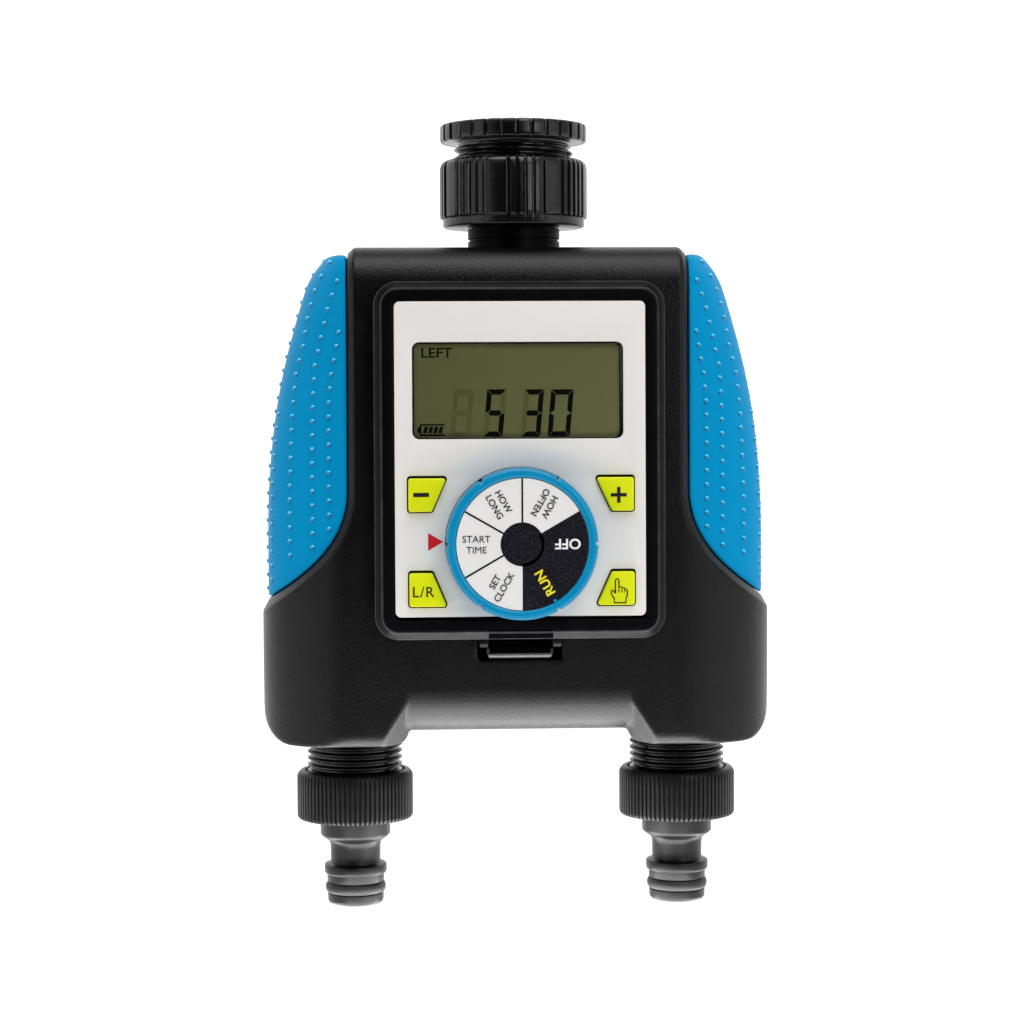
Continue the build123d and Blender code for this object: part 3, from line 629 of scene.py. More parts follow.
def dots(name, side, rad=0.66, rise=0.62):
    """moulded dots on the grip's skin, each a small dome"""
    places = []
    P = 3.78
    cols = [(DOTS_A, -57.97, -112.5), (DOTS_B, -44.15, -116.6), (DOTS_C, -38.9, -120.6), (0.062, -80.0, -125.4)]
    for phi, z0, z1 in cols:
        for rear in (False, True):
            z = z0
            while z > z1 - 0.1:
                places.append((phi, z, rear))
                z -= P
    z = -37.6
    while z > -128.6:
        places.append((0.0, z, False))
        z -= P
    verts, faces = [], []
    nr, ns = 4, 14
    for phi, z, rear in places:
        p0 = grip_surface_point(z, phi, rear)
        p, n = project(p0)
        if p[2] > -36.6 or p[0] < region_x(p[2]) + 1.9:
            continue
        t1 = np.cross(n, (0, 0, 1.0))
        if np.linalg.norm(t1) < 1e-3:
            t1 = np.array([1.0, 0, 0])
        t1 /= np.linalg.norm(t1)
        t2 = np.cross(n, t1)
        base = len(verts)
        for k in range(nr):
            a = math.pi / 2 * k / nr
            rr, hh = rad * math.cos(a) * (1.12 if k == 0 else 1.0), (rise * math.sin(a) if k else -0.12)
            for i in range(ns):
                b = 2 * math.pi * i / ns
                verts.append(p + t1 * rr * math.cos(b) + t2 * rr * math.sin(b) + n * hh)
        verts.append(p + n * rise)
        top = base + nr * ns
        verts.append(p - n * 0.3)
        for k in range(nr - 1):
            for i in range(ns):
                j = (i + 1) % ns
                faces.append((base + k * ns + i, base + k * ns + j, base + (k + 1) * ns + j, base + (k + 1) * ns + i))
        for i in range(ns):
            j = (i + 1) % ns
            faces.append((base + (nr - 1) * ns + i, base + (nr - 1) * ns + j, top))
            faces.append((base + j, base + i, top + 1))
    V = np.array(verts)
    if side < 0:
        V = V * np.array([-1, 1, 1])
        faces = [f[::-1] for f in faces]
    o = new_obj(name, V, faces)
    fix_normals(o)
    return o


# ================================================================ flat plates and printed marks
def plate2d(name, outlines, y_front, y_back, bevel=0.12, res=2):
    """a plate in the XZ plane: the first outline is its edge, the others holes; front edges rounded"""
    cu = bpy.data.curves.new(name, "CURVE")
    cu.dimensions = "2D"
    cu.fill_mode = "BOTH"
    for pts in outlines:
        sp = cu.splines.new("POLY")
        sp.points.add(len(pts) - 1)
        for p, q in zip(sp.points, pts):
            p.co = (q[0] * MM, q[1] * MM, 0, 1)
        sp.use_cyclic_u = True
    t = (y_back - y_front) / 2
    cu.extrude = max(t - bevel, 0.0) * MM
    cu.bevel_depth = bevel * MM
    cu.bevel_resolution = res
    cu.offset = -bevel * MM
    ob = bpy.data.objects.new(name, cu)
    bpy.context.scene.collection.objects.link(ob)
    bpy.context.view_layer.update()
    dg = bpy.context.evaluated_depsgraph_get()
    me = bpy.data.meshes.new_from_object(ob.evaluated_get(dg))
    bpy.data.objects.remove(ob)
    bpy.data.curves.remove(cu)
    me.transform(Matrix.Translation((0, (y_front + y_back) / 2 * MM, 0)) @ Matrix.Rotation(math.pi / 2, 4, "X"))
    o = bpy.data.objects.new(name, me)
    bpy.context.scene.collection.objects.link(o)
    bm = bmesh.new()
    bm.from_mesh(me)
    bmesh.ops.remove_doubles(bm, verts=bm.verts[:], dist=1e-7)
    bm.to_mesh(me)
    bm.free()
    me.polygons.foreach_set("use_smooth", [True] * len(me.polygons))
    return sharp(o, 28)


def text_mesh(name, body, cx, cz, y, cap, angle=0.0, bold=0.0, squeeze=1.0, spacing=1.0, thick=0.03):
    cu = bpy.data.curves.new(name, "FONT")
    cu.body = body
    cu.align_x = "CENTER"
    cu.align_y = "CENTER"
    cu.size = cap * MM / 0.70
    cu.offset = bold * MM
    cu.space_character = spacing
    cu.extrude = thick / 2 * MM
    cu.resolution_u = 4
    ob = bpy.data.objects.new(name, cu)
    bpy.context.scene.collection.objects.link(ob)
    bpy.context.view_layer.update()
    dg = bpy.context.evaluated_depsgraph_get()
    me = bpy.data.meshes.new_from_object(ob.evaluated_get(dg))
    bpy.data.objects.remove(ob)
    bpy.data.curves.remove(cu)
    co = np.zeros(len(me.vertices) * 3, np.float32)
    me.vertices.foreach_get("co", co)
    co = co.reshape(-1, 3)
    mid = (co.max(0) + co.min(0)) / 2
    me.transform(Matrix.Translation((cx * MM, y * MM, cz * MM)) @ Matrix.Rotation(math.pi / 2, 4, "X")
                 @ Matrix.Rotation(angle, 4, "Z") @ Matrix.Diagonal((squeeze, 1, 1, 1)) @ Matrix.Translation((-mid[0], -mid[1], 0)))
    o = bpy.data.objects.new(name, me)
    bpy.context.scene.collection.objects.link(o)
    return o


def flat_poly(name, polys, y, thick=0.03):
    """thin printed shapes, each a simple polygon in the XZ plane"""
    objs = []
    for k, p in enumerate(polys):
        objs.append(plate2d(f"{name}_{k}", [p], y - thick / 2, y + thick / 2, bevel=0.0))
    return join(name, objs) if len(objs) > 1 else renamed(objs[0], name)


def renamed(o, name):
    o.name = name
    o.data.name = name
    return o


def circle(cx, cz, r, n=48, a0=0.0, a1=2 * math.pi, end=False):
    return [(cx + r * math.cos(a0 + (a1 - a0) * i / n), cz + r * math.sin(a0 + (a1 - a0) * i / n)) for i in range(n + (1 if end else 0))]


def ccw(p):
    s = sum(a[0] * b[1] - b[0] * a[1] for a, b in zip(p, p[1:] + p[:1]))
    return p if s > 0 else p[::-1]


def round_poly(pts, r, n=5):
    return [tuple(q) for q in round_profile([(p[0], p[1], r) for p in ccw(list(pts))], r, n)]


def inset_poly(pts, d):
    """moves each side of a convex polygon inward by d"""
    pts = ccw(list(pts))
    m = len(pts)
    lines = []
    for i in range(m):
        a, b = np.array(pts[i]), np.array(pts[(i + 1) % m])
        t = (b - a) / np.linalg.norm(b - a)
        nrm = np.array([-t[1], t[0]])
        lines.append((a + nrm * d, t))
    out = []
    for i in range(m):
        (p, t), (q, s) = lines[i - 1], lines[i]
        A = np.array([t, -s]).T
        u = np.linalg.solve(A, q - p)
        out.append(tuple(p + t * u[0]))
    return out


# ================================================================ materials
def nodes_of(m):
    m.use_nodes = True
    nt = m.node_tree
    nt.nodes.clear()
    return nt, nt.nodes, nt.links


def srgb(r, g, b):
    f = lambda c: (c / 12.92 if c <= 0.04045 else ((c + 0.055) / 1.055) ** 2.4)
    return tuple(f(c / 255.0) for c in (r, g, b))


MATS = {}


def plastic(name, col, rough=0.4, grain=0.12, grain_mm=0.35, vary=0.12, spec=0.5, speck=None, speck_mm=0.25, coat=0.0,
            sheen=0.0, sss=0.0, rough_var=0.08, blotch_mm=9.0, metallic=0.0):
    """moulded plastic: faint colour drift, fine grain and uneven gloss"""
    m = bpy.data.materials.new(name)
    nt, N, L = nodes_of(m)
    out = N.new("ShaderNodeOutputMaterial")
    bs = N.new("ShaderNodeBsdfPrincipled")
    tc = N.new("ShaderNodeTexCoord")
    n1 = N.new("ShaderNodeTexNoise")
    n1.inputs["Scale"].default_value = 1000.0 / blotch_mm
    n1.inputs["Detail"].default_value = 3.0
    n2 = N.new("ShaderNodeTexNoise")
    n2.inputs["Scale"].default_value = 1000.0 / grain_mm
    n2.inputs["Detail"].default_value = 2.0
    L.new(tc.outputs["Object"], n1.inputs["Vector"])
    L.new(tc.outputs["Object"], n2.inputs["Vector"])
    mix = N.new("ShaderNodeMix")
    mix.data_type = "RGBA"
    mix.inputs["A"].default_value = tuple(c * (1 - vary) for c in col) + (1,)
    mix.inputs["B"].default_value = tuple(min(1, c * (1 + vary)) for c in col) + (1,)
    L.new(n1.outputs["Fac"], mix.inputs["Factor"])
    colour = mix.outputs["Result"]
    if speck is not None:
        n3 = N.new("ShaderNodeTexNoise")
        n3.inputs["Scale"].default_value = 1000.0 / speck_mm
        n3.inputs["Detail"].default_value = 0.0
        L.new(tc.outputs["Object"], n3.inputs["Vector"])
        rp = N.new("ShaderNodeValToRGB")
        rp.color_ramp.elements[0].position = 0.62
        rp.color_ramp.elements[1].position = 0.72
        L.new(n3.outputs["Fac"], rp.inputs["Fac"])
        m2 = N.new("ShaderNodeMix")
        m2.data_type = "RGBA"
        m2.inputs["B"].default_value = tuple(speck) + (1,)
        L.new(rp.outputs["Color"], m2.inputs["Factor"])
        L.new(colour, m2.inputs["A"])
        colour = m2.outputs["Result"]
    L.new(colour, bs.inputs["Base Color"])
    mr = N.new("ShaderNodeMapRange")
    mr.inputs["To Min"].default_value = max(0.03, rough - rough_var)
    mr.inputs["To Max"].default_value = rough + rough_var
    L.new(n1.outputs["Fac"], mr.inputs["Value"])
    L.new(mr.outputs["Result"], bs.inputs["Roughness"])
    bp = N.new("ShaderNodeBump")
    bp.inputs["Strength"].default_value = grain
    bp.inputs["Distance"].default_value = grain_mm * 0.3 * MM
    L.new(n2.outputs["Fac"], bp.inputs["Height"])
    L.new(bp.outputs["Normal"], bs.inputs["Normal"])
    bs.inputs["Specular IOR Level"].default_value = spec
    bs.inputs["Metallic"].default_value = metallic
    bs.inputs["Coat Weight"].default_value = coat
    bs.inputs["Coat Roughness"].default_value = 0.12
    if sss:
        bs.inputs["Subsurface Weight"].default_value = sss
        bs.inputs["Subsurface Scale"].default_value = 0.0015
    L.new(bs.outputs["BSDF"], out.inputs["Surface"])
    MATS[name] = m
    return m


def clear_plastic(name, tint=(0.97, 0.985, 0.98)):
    m = bpy.data.materials.new(name)
    nt, N, L = nodes_of(m)
    out = N.new("ShaderNodeOutputMaterial")
    tr = N.new("ShaderNodeBsdfTransparent")
    gl = N.new("ShaderNodeBsdfGlossy")
    mx = N.new("ShaderNodeMixShader")
    fr = N.new("ShaderNodeFresnel")
    fr.inputs["IOR"].default_value = 1.38
    tc = N.new("ShaderNodeTexCoord")
    nz = N.new("ShaderNodeTexNoise")
    nz.inputs["Scale"].default_value = 120.0
    L.new(tc.outputs["Object"], nz.inputs["Vector"])
    mr = N.new("ShaderNodeMapRange")
    mr.inputs["To Min"].default_value = 0.03
    mr.inputs["To Max"].default_value = 0.07
    L.new(nz.outputs["Fac"], mr.inputs["Value"])
    L.new(mr.outputs["Result"], gl.inputs["Roughness"])
    tr.inputs["Color"].default_value = tint + (1,)
    L.new(fr.outputs["Fac"], mx.inputs["Fac"])
    L.new(tr.outputs["BSDF"], mx.inputs[1])
    L.new(gl.outputs["BSDF"], mx.inputs[2])
    L.new(mx.outputs["Shader"], out.inputs["Surface"])
    MATS[name] = m
    return m


def woven(name):
    """fine strainer mesh: holes cut by a shader"""
    m = bpy.data.materials.new(name)
    nt, N, L = nodes_of(m)
    out = N.new("ShaderNodeOutputMaterial")
    bs = N.new("ShaderNodeBsdfPrincipled")
    tr = N.new("ShaderNodeBsdfTransparent")
    mx = N.new("ShaderNodeMixShader")
    tc = N.new("ShaderNodeTexCoord")
    ck = N.new("ShaderNodeTexVoronoi")
    ck.inputs["Scale"].default_value = 1400.0
    L.new(tc.outputs["Object"], ck.inputs["Vector"])
    rp = N.new("ShaderNodeValToRGB")
    rp.color_ramp.elements[0].position = 0.28
    rp.color_ramp.elements[1].position = 0.32
    L.new(ck.outputs["Distance"], rp.inputs["Fac"])
    bs.inputs["Base Color"].default_value = (0.42, 0.43, 0.44, 1)
    bs.inputs["Metallic"].default_value = 0.8
    bs.inputs["Roughness"].default_value = 0.35
    L.new(rp.outputs["Color"], mx.inputs["Fac"])
    L.new(tr.outputs["BSDF"], mx.inputs[1])
    L.new(bs.outputs["BSDF"], mx.inputs[2])
    L.new(mx.outputs["Shader"], out.inputs["Surface"])
    MATS[name] = m
    return m


BLACK = (0.0014, 0.0013, 0.0018)
plastic("black_housing", BLACK, rough=0.30, grain=0.9, grain_mm=0.46, vary=0.25, spec=0.26, rough_var=0.04)
plastic("black_nose", (0.0025, 0.0022, 0.0025), rough=0.33, grain=0.12, grain_mm=0.5, vary=0.2, spec=0.31)
plastic("black_bezel", BLACK, rough=0.32, grain=0.55, grain_mm=0.40, vary=0.25, spec=0.09, rough_var=0.04)
plastic("black_fitting", (0.0018, 0.0016, 0.0018), rough=0.25, grain=0.22, grain_mm=0.5, vary=0.2, spec=0.5)
plastic("blue_grip", (0.0001, 0.262, 0.535), rough=0.44, grain=0.12, grain_mm=0.45, vary=0.03, spec=0.035)
plastic("blue_dots", (0.0004, 0.265, 0.51), rough=0.30, grain=0.05, grain_mm=0.5, vary=0.03, spec=0.75)
plastic("dial_blue", (0.0006, 0.245, 0.47), rough=0.26, grain=0.06, grain_mm=0.5, vary=0.03, spec=0.3)
plastic("dial_print", (0.775, 0.765, 0.75), rough=0.5, grain=0.03, grain_mm=0.6, vary=0.015, spec=0.3)
plastic("dial_black", (0.0050, 0.0050, 0.0085), rough=0.5, grain=0.05, grain_mm=0.4, vary=0.1, spec=0.05, speck=(0.055, 0.055, 0.072), speck_mm=0.17)
plastic("pale_plate", (0.785, 0.762, 0.732), rough=0.45, grain=0.05, grain_mm=0.6, vary=0.015, spec=0.25)
clear_plastic("clear_window")
plastic("lcd_olive", (0.325, 0.315, 0.128), rough=0.55, grain=0.02, grain_mm=0.8, vary=0.06, spec=0.2, blotch_mm=16)
plastic("lcd_ink", (0.0032, 0.0032, 0.0016), rough=0.6, grain=0.02, vary=0.1, spec=0.1)
plastic("lcd_ghost", (0.250, 0.245, 0.100), rough=0.6, grain=0.02, vary=0.05, spec=0.1)
plastic("board_green", (0.012, 0.085, 0.030), rough=0.35, grain=0.05, vary=0.1, spec=0.5)
plastic("switch_grey", (0.16, 0.16, 0.165), rough=0.45, grain=0.05, vary=0.08)
plastic("lime_key", (0.72, 0.77, 0.004), rough=0.42, grain=0.05, grain_mm=0.5, vary=0.02, spec=0.2)
plastic("seal_rubber", (0.010, 0.0095, 0.0095), rough=0.48, grain=0.08, grain_mm=0.5, vary=0.2, spec=0.4)
plastic("diaphragm_rubber", (0.016, 0.016, 0.017), rough=0.6, grain=0.15, grain_mm=0.5, vary=0.2)
plastic("valve_nylon", (0.13, 0.128, 0.122), rough=0.5, grain=0.12, grain_mm=0.5, vary=0.1)
plastic("coil_wrap", (0.28, 0.105, 0.018), rough=0.4, grain=0.15, grain_mm=0.5, vary=0.15)
plastic("steel", (0.56, 0.565, 0.57), rough=0.28, grain=0.05, grain_mm=0.3, vary=0.05, metallic=1.0)
plastic("contact_gold", (0.78, 0.55, 0.20), rough=0.3, grain=0.05, grain_mm=0.3, vary=0.05, metallic=1.0)
plastic("cell_wrap", (0.055, 0.07, 0.10), rough=0.32, grain=0.04, grain_mm=0.5, vary=0.2, coat=0.3)
woven("screen_mesh")
plastic("ink_black", (0.010, 0.010, 0.010), rough=0.55, grain=0.03, vary=0.15, spec=0.2)
plastic("ink_white", (0.80, 0.80, 0.79), rough=0.5, grain=0.03, vary=0.02, spec=0.2)
plastic("ink_yellow", (0.78, 0.66, 0.03), rough=0.5, grain=0.03, vary=0.03, spec=0.2)
plastic("ink_red", (0.60, 0.008, 0.018), rough=0.45, grain=0.03, vary=0.04, spec=0.3)
plastic("pin_ring", (0.030, 0.029, 0.030), rough=0.5, grain=0.2, grain_mm=0.3, vary=0.2, spec=0.2)
plastic("lip_grey", (0.10, 0.10, 0.098), rough=0.42, grain=0.1, vary=0.08)


def dress(o, mat):
    o.data.materials.clear()
    o.data.materials.append(MATS[mat])
    return o


def piece(o, body, mat, nodes=()):
    dress(o, mat)
    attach(o, body)
    if nodes:
        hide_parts(*nodes)
    return o


def paint_light_by_height(name, low, high):
    """gloss beads: painted highlight on their upper side and painted shade on their lower side, the colour set by the
    height of the normal
    """
    nt = MATS[name].node_tree
    bs = [n for n in nt.nodes if n.type == "BSDF_PRINCIPLED"][0]
    src = bs.inputs["Base Color"].links[0].from_socket
    ge = nt.nodes.new("ShaderNodeNewGeometry")
    sp = nt.nodes.new("ShaderNodeSeparateXYZ")
    rp = nt.nodes.new("ShaderNodeValToRGB")
    rp.color_ramp.elements[0].position = 0.28
    rp.color_ramp.elements[0].color = tuple(low) + (1,)
    rp.color_ramp.elements[1].position = 0.82
    rp.color_ramp.elements[1].color = tuple(high) + (1,)
    mid = rp.color_ramp.elements.new(0.56)
    mid.color = (1, 1, 1, 1)
    mr = nt.nodes.new("ShaderNodeMapRange")
    mr.inputs["From Min"].default_value = -1.0
    mx = nt.nodes.new("ShaderNodeVectorMath")
    mx.operation = "MULTIPLY"
    nt.links.new(ge.outputs["Normal"], sp.inputs["Vector"])
    nt.links.new(sp.outputs["Z"], mr.inputs["Value"])
    nt.links.new(mr.outputs["Result"], rp.inputs["Fac"])
    nt.links.new(src, mx.inputs[0])
    nt.links.new(rp.outputs["Color"], mx.inputs[1])
    nt.links.new(mx.outputs["Vector"], bs.inputs["Base Color"])


# painted shade on the dots' lower sides and painted highlight on their upper sides
paint_light_by_height("blue_dots", (0.9, 0.58, 0.62), (260.0, 2.7, 1.85))


def matt_shade_patch(name, half_x, below_z):
    """painted shade: no gloss on a patch of the part, given in the part's own coordinates, so the patch reads as a dark
    recess
    """
    nt = MATS[name].node_tree
    bs = [n for n in nt.nodes if n.type == "BSDF_PRINCIPLED"][0]
    tc = nt.nodes.new("ShaderNodeTexCoord")
    sp = nt.nodes.new("ShaderNodeSeparateXYZ")
    ab, lx, lz, mu, sc_ = (nt.nodes.new("ShaderNodeMath") for _ in range(5))
    ab.operation, lx.operation, lz.operation, mu.operation, sc_.operation = "ABSOLUTE", "LESS_THAN", "LESS_THAN", "MULTIPLY", "MULTIPLY_ADD"
    nt.links.new(tc.outputs["Object"], sp.inputs["Vector"])
    nt.links.new(sp.outputs["X"], ab.inputs[0])
    nt.links.new(ab.outputs["Value"], lx.inputs[0])
    lx.inputs[1].default_value = half_x * MM
    nt.links.new(sp.outputs["Z"], lz.inputs[0])
    lz.inputs[1].default_value = below_z * MM
    nt.links.new(lx.outputs["Value"], mu.inputs[0])
    nt.links.new(lz.outputs["Value"], mu.inputs[1])
    spec = bs.inputs["Specular IOR Level"].default_value
    nt.links.new(mu.outputs["Value"], sc_.inputs[0])
    sc_.inputs[1].default_value = -spec
    sc_.inputs[2].default_value = spec
    nt.links.new(sc_.outputs["Value"], bs.inputs["Specular IOR Level"])


# painted shade: the bezel's lower edge between the feet made matt so it reads as the dark latch opening
matt_shade_patch("black_bezel", 8.6, -137.35)


def edge_glint(name, hx, zc, hz, r, lines, colour):
    """painted highlight lines along the edges of a rounded rectangular frame, by distance in from its outline"""
    nt = MATS[name].node_tree
    bs = [n for n in nt.nodes if n.type == "BSDF_PRINCIPLED"][0]

    def m(op, a, b=None, clamp=False):
        n = nt.nodes.new("ShaderNodeMath")
        n.operation = op
        n.use_clamp = clamp
        for k, v in enumerate((a, b)):
            if v is None:
                continue
            if isinstance(v, (int, float)):
                n.inputs[k].default_value = v
            else:
                nt.links.new(v, n.inputs[k])
        return n.outputs["Value"]

    tc = nt.nodes.new("ShaderNodeTexCoord")
    sp = nt.nodes.new("ShaderNodeSeparateXYZ")
    nt.links.new(tc.outputs["Object"], sp.inputs["Vector"])
    qx = m("SUBTRACT", m("ABSOLUTE", sp.outputs["X"]), (hx - r) * MM)
    qz = m("SUBTRACT", m("ABSOLUTE", m("SUBTRACT", sp.outputs["Z"], zc * MM)), (hz - r) * MM)
    px, pz = m("MAXIMUM", qx, 0.0), m("MAXIMUM", qz, 0.0)
    far = m("SQRT", m("ADD", m("MULTIPLY", px, px), m("MULTIPLY", pz, pz)))
    sd = m("SUBTRACT", m("ADD", far, m("MINIMUM", m("MAXIMUM", qx, qz), 0.0)), r * MM)
    fac = None
    for c, w in lines:
        one = m("SUBTRACT", 1.0, m("DIVIDE", m("ABSOLUTE", m("ADD", sd, c * MM)), w * MM), clamp=True)
        fac = one if fac is None else m("MAXIMUM", fac, one)
    nz = nt.nodes.new("ShaderNodeTexNoise")
    nz.inputs["Scale"].default_value = 220.0
    nz.inputs["Detail"].default_value = 3.0
    nt.links.new(tc.outputs["Object"], nz.inputs["Vector"])
    fac = m("MULTIPLY", fac, m("MULTIPLY", nz.outputs["Fac"], 1.5), clamp=True)
    mx = nt.nodes.new("ShaderNodeMix")
    mx.data_type = "RGBA"
    src = bs.inputs["Base Color"].links[0].from_socket
    nt.links.new(fac, mx.inputs["Factor"])
    nt.links.new(src, mx.inputs["A"])
    mx.inputs["B"].default_value = tuple(colour) + (1,)
    nt.links.new(mx.outputs["Result"], bs.inputs["Base Color"])


# painted highlights along the bezel's outer and inner chamfer edges
edge_glint("black_bezel", 38.85, -92.45, 47.7, 6.5, [(0.17, 0.19), (2.0, 0.42)], (0.048, 0.048, 0.051))


# ================================================================ moulded shells and grips
H_SHELL = 0.72
H_GRIP = 0.55
front = piece(housing("front_shell", True, H_SHELL), "housing", "black_housing", ["front_housing"])
rear = piece(housing("rear_shell", False, H_SHELL), "housing", "black_housing", ["rear_housing"])
for side, nm in ((-1, "left"), (1, "right")):
    piece(grip_mesh(f"{nm}_grip_skin", side, H_GRIP), "housing", "blue_grip", [f"{nm}_grip"])
    dotp = piece(dots(f"{nm}_grip_dots", side), "housing", "blue_grip")
    dress(dotp, "blue_dots")


# ================================================================ control module: bezel, plate, window
def ring(name, rows, nc=10, deg=30):
    """closed ring body; rows of (half width x, lower z, upper z, corner radius, y)"""
    loops = [at_y(rrect(-x, x, z0, z1, max(r, 0.05), nc), y) for (x, z0, z1, r, y) in rows]
    n = len(loops[0])
    verts = [p for l in loops for p in l]
    faces = []
    for k in range(len(loops)):
        k2 = (k + 1) % len(loops)
        for i in range(n):
            j = (i + 1) % n
            faces.append((k * n + i, k * n + j, k2 * n + j, k2 * n + i))
    o = new_obj(name, verts, faces)
    bm = bmesh.new()
    bm.from_mesh(o.data)
    bmesh.ops.recalc_face_normals(bm, faces=bm.faces[:])
    bm.to_mesh(o.data)
    bm.free()
    return sharp(o, deg)


ZM0, ZM1 = -140.15, -44.75


def brow(inset, y):
    return (38.85 - inset, ZM0 + inset, ZM1 - inset, 6.5 - min(inset, 5.6), y)


rows = [brow(0.25, -26.2), brow(0.07, -26.3), brow(0.0, -26.5), brow(0.0, -31.7)]
rows += [brow(0.05, -31.95), brow(0.2, -32.2)]
rows += [brow(1.7, -33.65), brow(1.95, -33.85), brow(2.3, -33.97), brow(2.7, -34.0)]
rows += [brow(4.9, -34.0), brow(5.12, -33.97), brow(5.28, -33.88), brow(5.36, -33.7)]
rows += [(38.85 - 5.36, ZM0 + 5.36 + 0.85, ZM1 - 5.36 - 0.02, 1.6, -31.9), (31.5, -132.0, -52.0, 1.4, -31.9), (31.5, -132.0, -52.0, 1.4, -30.4),
         (34.4, -135.0, -50.0, 3.0, -30.4), (34.4, -135.0, -50.0, 3.0, -14.4), (36.0, -136.6, -48.4, 4.6, -14.4), (36.2, -136.8, -48.2, 4.8, -14.6),
         (36.2, -136.8, -48.2, 4.8, -26.2)]
bez = ring("bezel_frame", rows)
feet = []
for sx in (-1, 1):
    sec = [(-27.0, -139.4), (-31.8, -139.4), (-31.9, -141.0), (-31.75, -141.5), (-31.3, -142.05), (-30.6, -142.45), (-29.9, -142.6), (-27.0, -142.6)]
    lp = []
    for dx, sh in ((8.6, 0.25), (8.7, 0.08), (8.9, 0.0), (10.7, 0.0), (10.9, 0.08), (11.0, 0.25)):
        lp.append([(sx * dx, min(y + sh, -27.0) if y < -27.0 else y, z + (sh if z < -141.9 else 0.0)) for y, z in sec])
    feet.append(loft(f"foot_{'l' if sx < 0 else 'r'}", lp, deg=38))
bez = join("bezel_frame", [bez] + feet)
piece(bez, "control_module", "black_fitting", ["bezel"])
dress(bez, "black_bezel")

# outlines on the plate
PLATE = rrect(-33.3, 33.3, -133.85, -50.2, 1.5, 6)
LCD_HOLE = rrect(-28.6, 27.45, -86.65, -60.95, 1.9, 8)
BTN = {
    "minus": [(-29.75, -97.0), (-19.6, -97.0), (-23.55, -105.85), (-29.75, -105.85)],
    "plus": [(19.95, -96.95), (30.05, -96.95), (30.05, -105.85), (24.2, -105.85)],
    "outlet": [(-29.6, -122.1), (-23.5, -122.1), (-19.6, -131.0), (-29.6, -131.0)],
    "manual": [(24.2, -122.0), (30.2, -122.0), (30.2, -130.9), (20.1, -130.9)],
}


def hole_line(k, extra=0.0):
    """the plate's opening: even play round the cap, with more above it"""
    p = inset_poly(BTN[k], -0.32 - extra)
    top = max(q[1] for q in p)
    return round_poly([(q[0], q[1] + (0.30 if abs(q[1] - top) < 0.01 else 0.0)) for q in p], 0.9, 5)


holes = [hole_line(k) for k in BTN]
plate = plate2d("face_sheet", [PLATE, LCD_HOLE, circle(0.0, DIAL_Z, 20.04, 128)] + holes, -34.42, -33.72, 0.10)
piece(plate, "control_module", "pale_plate", ["faceplate"])

# dark floor seen in the gaps round the keys
piece(plate2d("key_well", [rrect(-32.0, 32.0, -132.6, -95.0, 1.0, 4), circle(0.0, DIAL_Z, 18.6, 72)] + [round_poly(inset_poly(BTN[k], 0.35), 0.6, 4) for k in BTN],
              -33.68, -32.7, 0.0), "control_module", "black_fitting", ())


def slab_window(name, x0, x1, z0, z1, r, yf, yb, gap_shade=0.3):
    loops = [at_y(rrect(x0, x1, z0, z1, r, 8), yb)]
    for off, rise in fillet_steps(gap_shade, 3):
        loops.append(at_y(rrect(x0 + off, x1 - off, z0 + off, z1 - off, max(r - off, 0.1), 8), yf + gap_shade - rise))
    return loft(name, loops)


win = slab_window("window_lens", -28.45, 27.3, -86.5, -61.1, 1.8, -34.0, -32.75, 0.35)
piece(win, "control_module", "clear_window", ["lcd_window"])
# painted shade: a black border behind the lens, round the window's edge
piece(plate2d("window_border", [rrect(-28.6, 27.45, -86.65, -60.95, 1.9, 8), rrect(-28.1, 26.6, -86.35, -61.4, 1.5, 8)], -32.72, -32.6, 0.0),
      "control_module", "ink_black", ())

glass = plate2d("lcd_sheet", [rrect(-28.9, 27.7, -86.9, -60.7, 0.4, 4)], -32.3, -27.95, 0.1)
piece(glass, "control_module", "lcd_olive", ["lcd_panel"])


# ---------------------------------------------------------------- LCD characters
def seg_digit(x0, x1, z0, z1, segs, t=1.42, slant=math.tan(math.radians(5)), gap=0.10):
    zc = (z0 + z1) / 2

    def S(p):
        return [(x + (z - z0) * slant, z) for x, z in p]
    b = t * 0.5
    top = [(x0 + gap, z1), (x1 - gap, z1), (x1 - t - gap * 0, z1 - t), (x0 + t, z1 - t)]
    bot = [(x0 + t, z0 + t), (x1 - t, z0 + t), (x1 - gap, z0), (x0 + gap, z0)]
    mid = [(x0 + gap + b * 0.9, zc), (x0 + t, zc + b), (x1 - t, zc + b), (x1 - gap - b * 0.9, zc), (x1 - t, zc - b), (x0 + t, zc - b)]
    tl = [(x0, z1 - gap), (x0 + t - gap, z1 - t - gap), (x0 + t - gap, zc + b + gap * 0.6), (x0 + b * 0.6, zc + gap), (x0, zc + gap)]
    bl = [(x0, zc - gap), (x0 + b * 0.6, zc - gap), (x0 + t - gap, zc - b - gap * 0.6), (x0 + t - gap, z0 + t + gap), (x0, z0 + gap)]
    tr = [(x0 + x1 - x, z) for x, z in tl]
    br = [(x0 + x1 - x, z) for x, z in bl]
    tab = dict(a=top, b=tr, c=br, d=bot, e=bl, f=tl, g=mid)
    return [S(tab[s]) for s in segs]


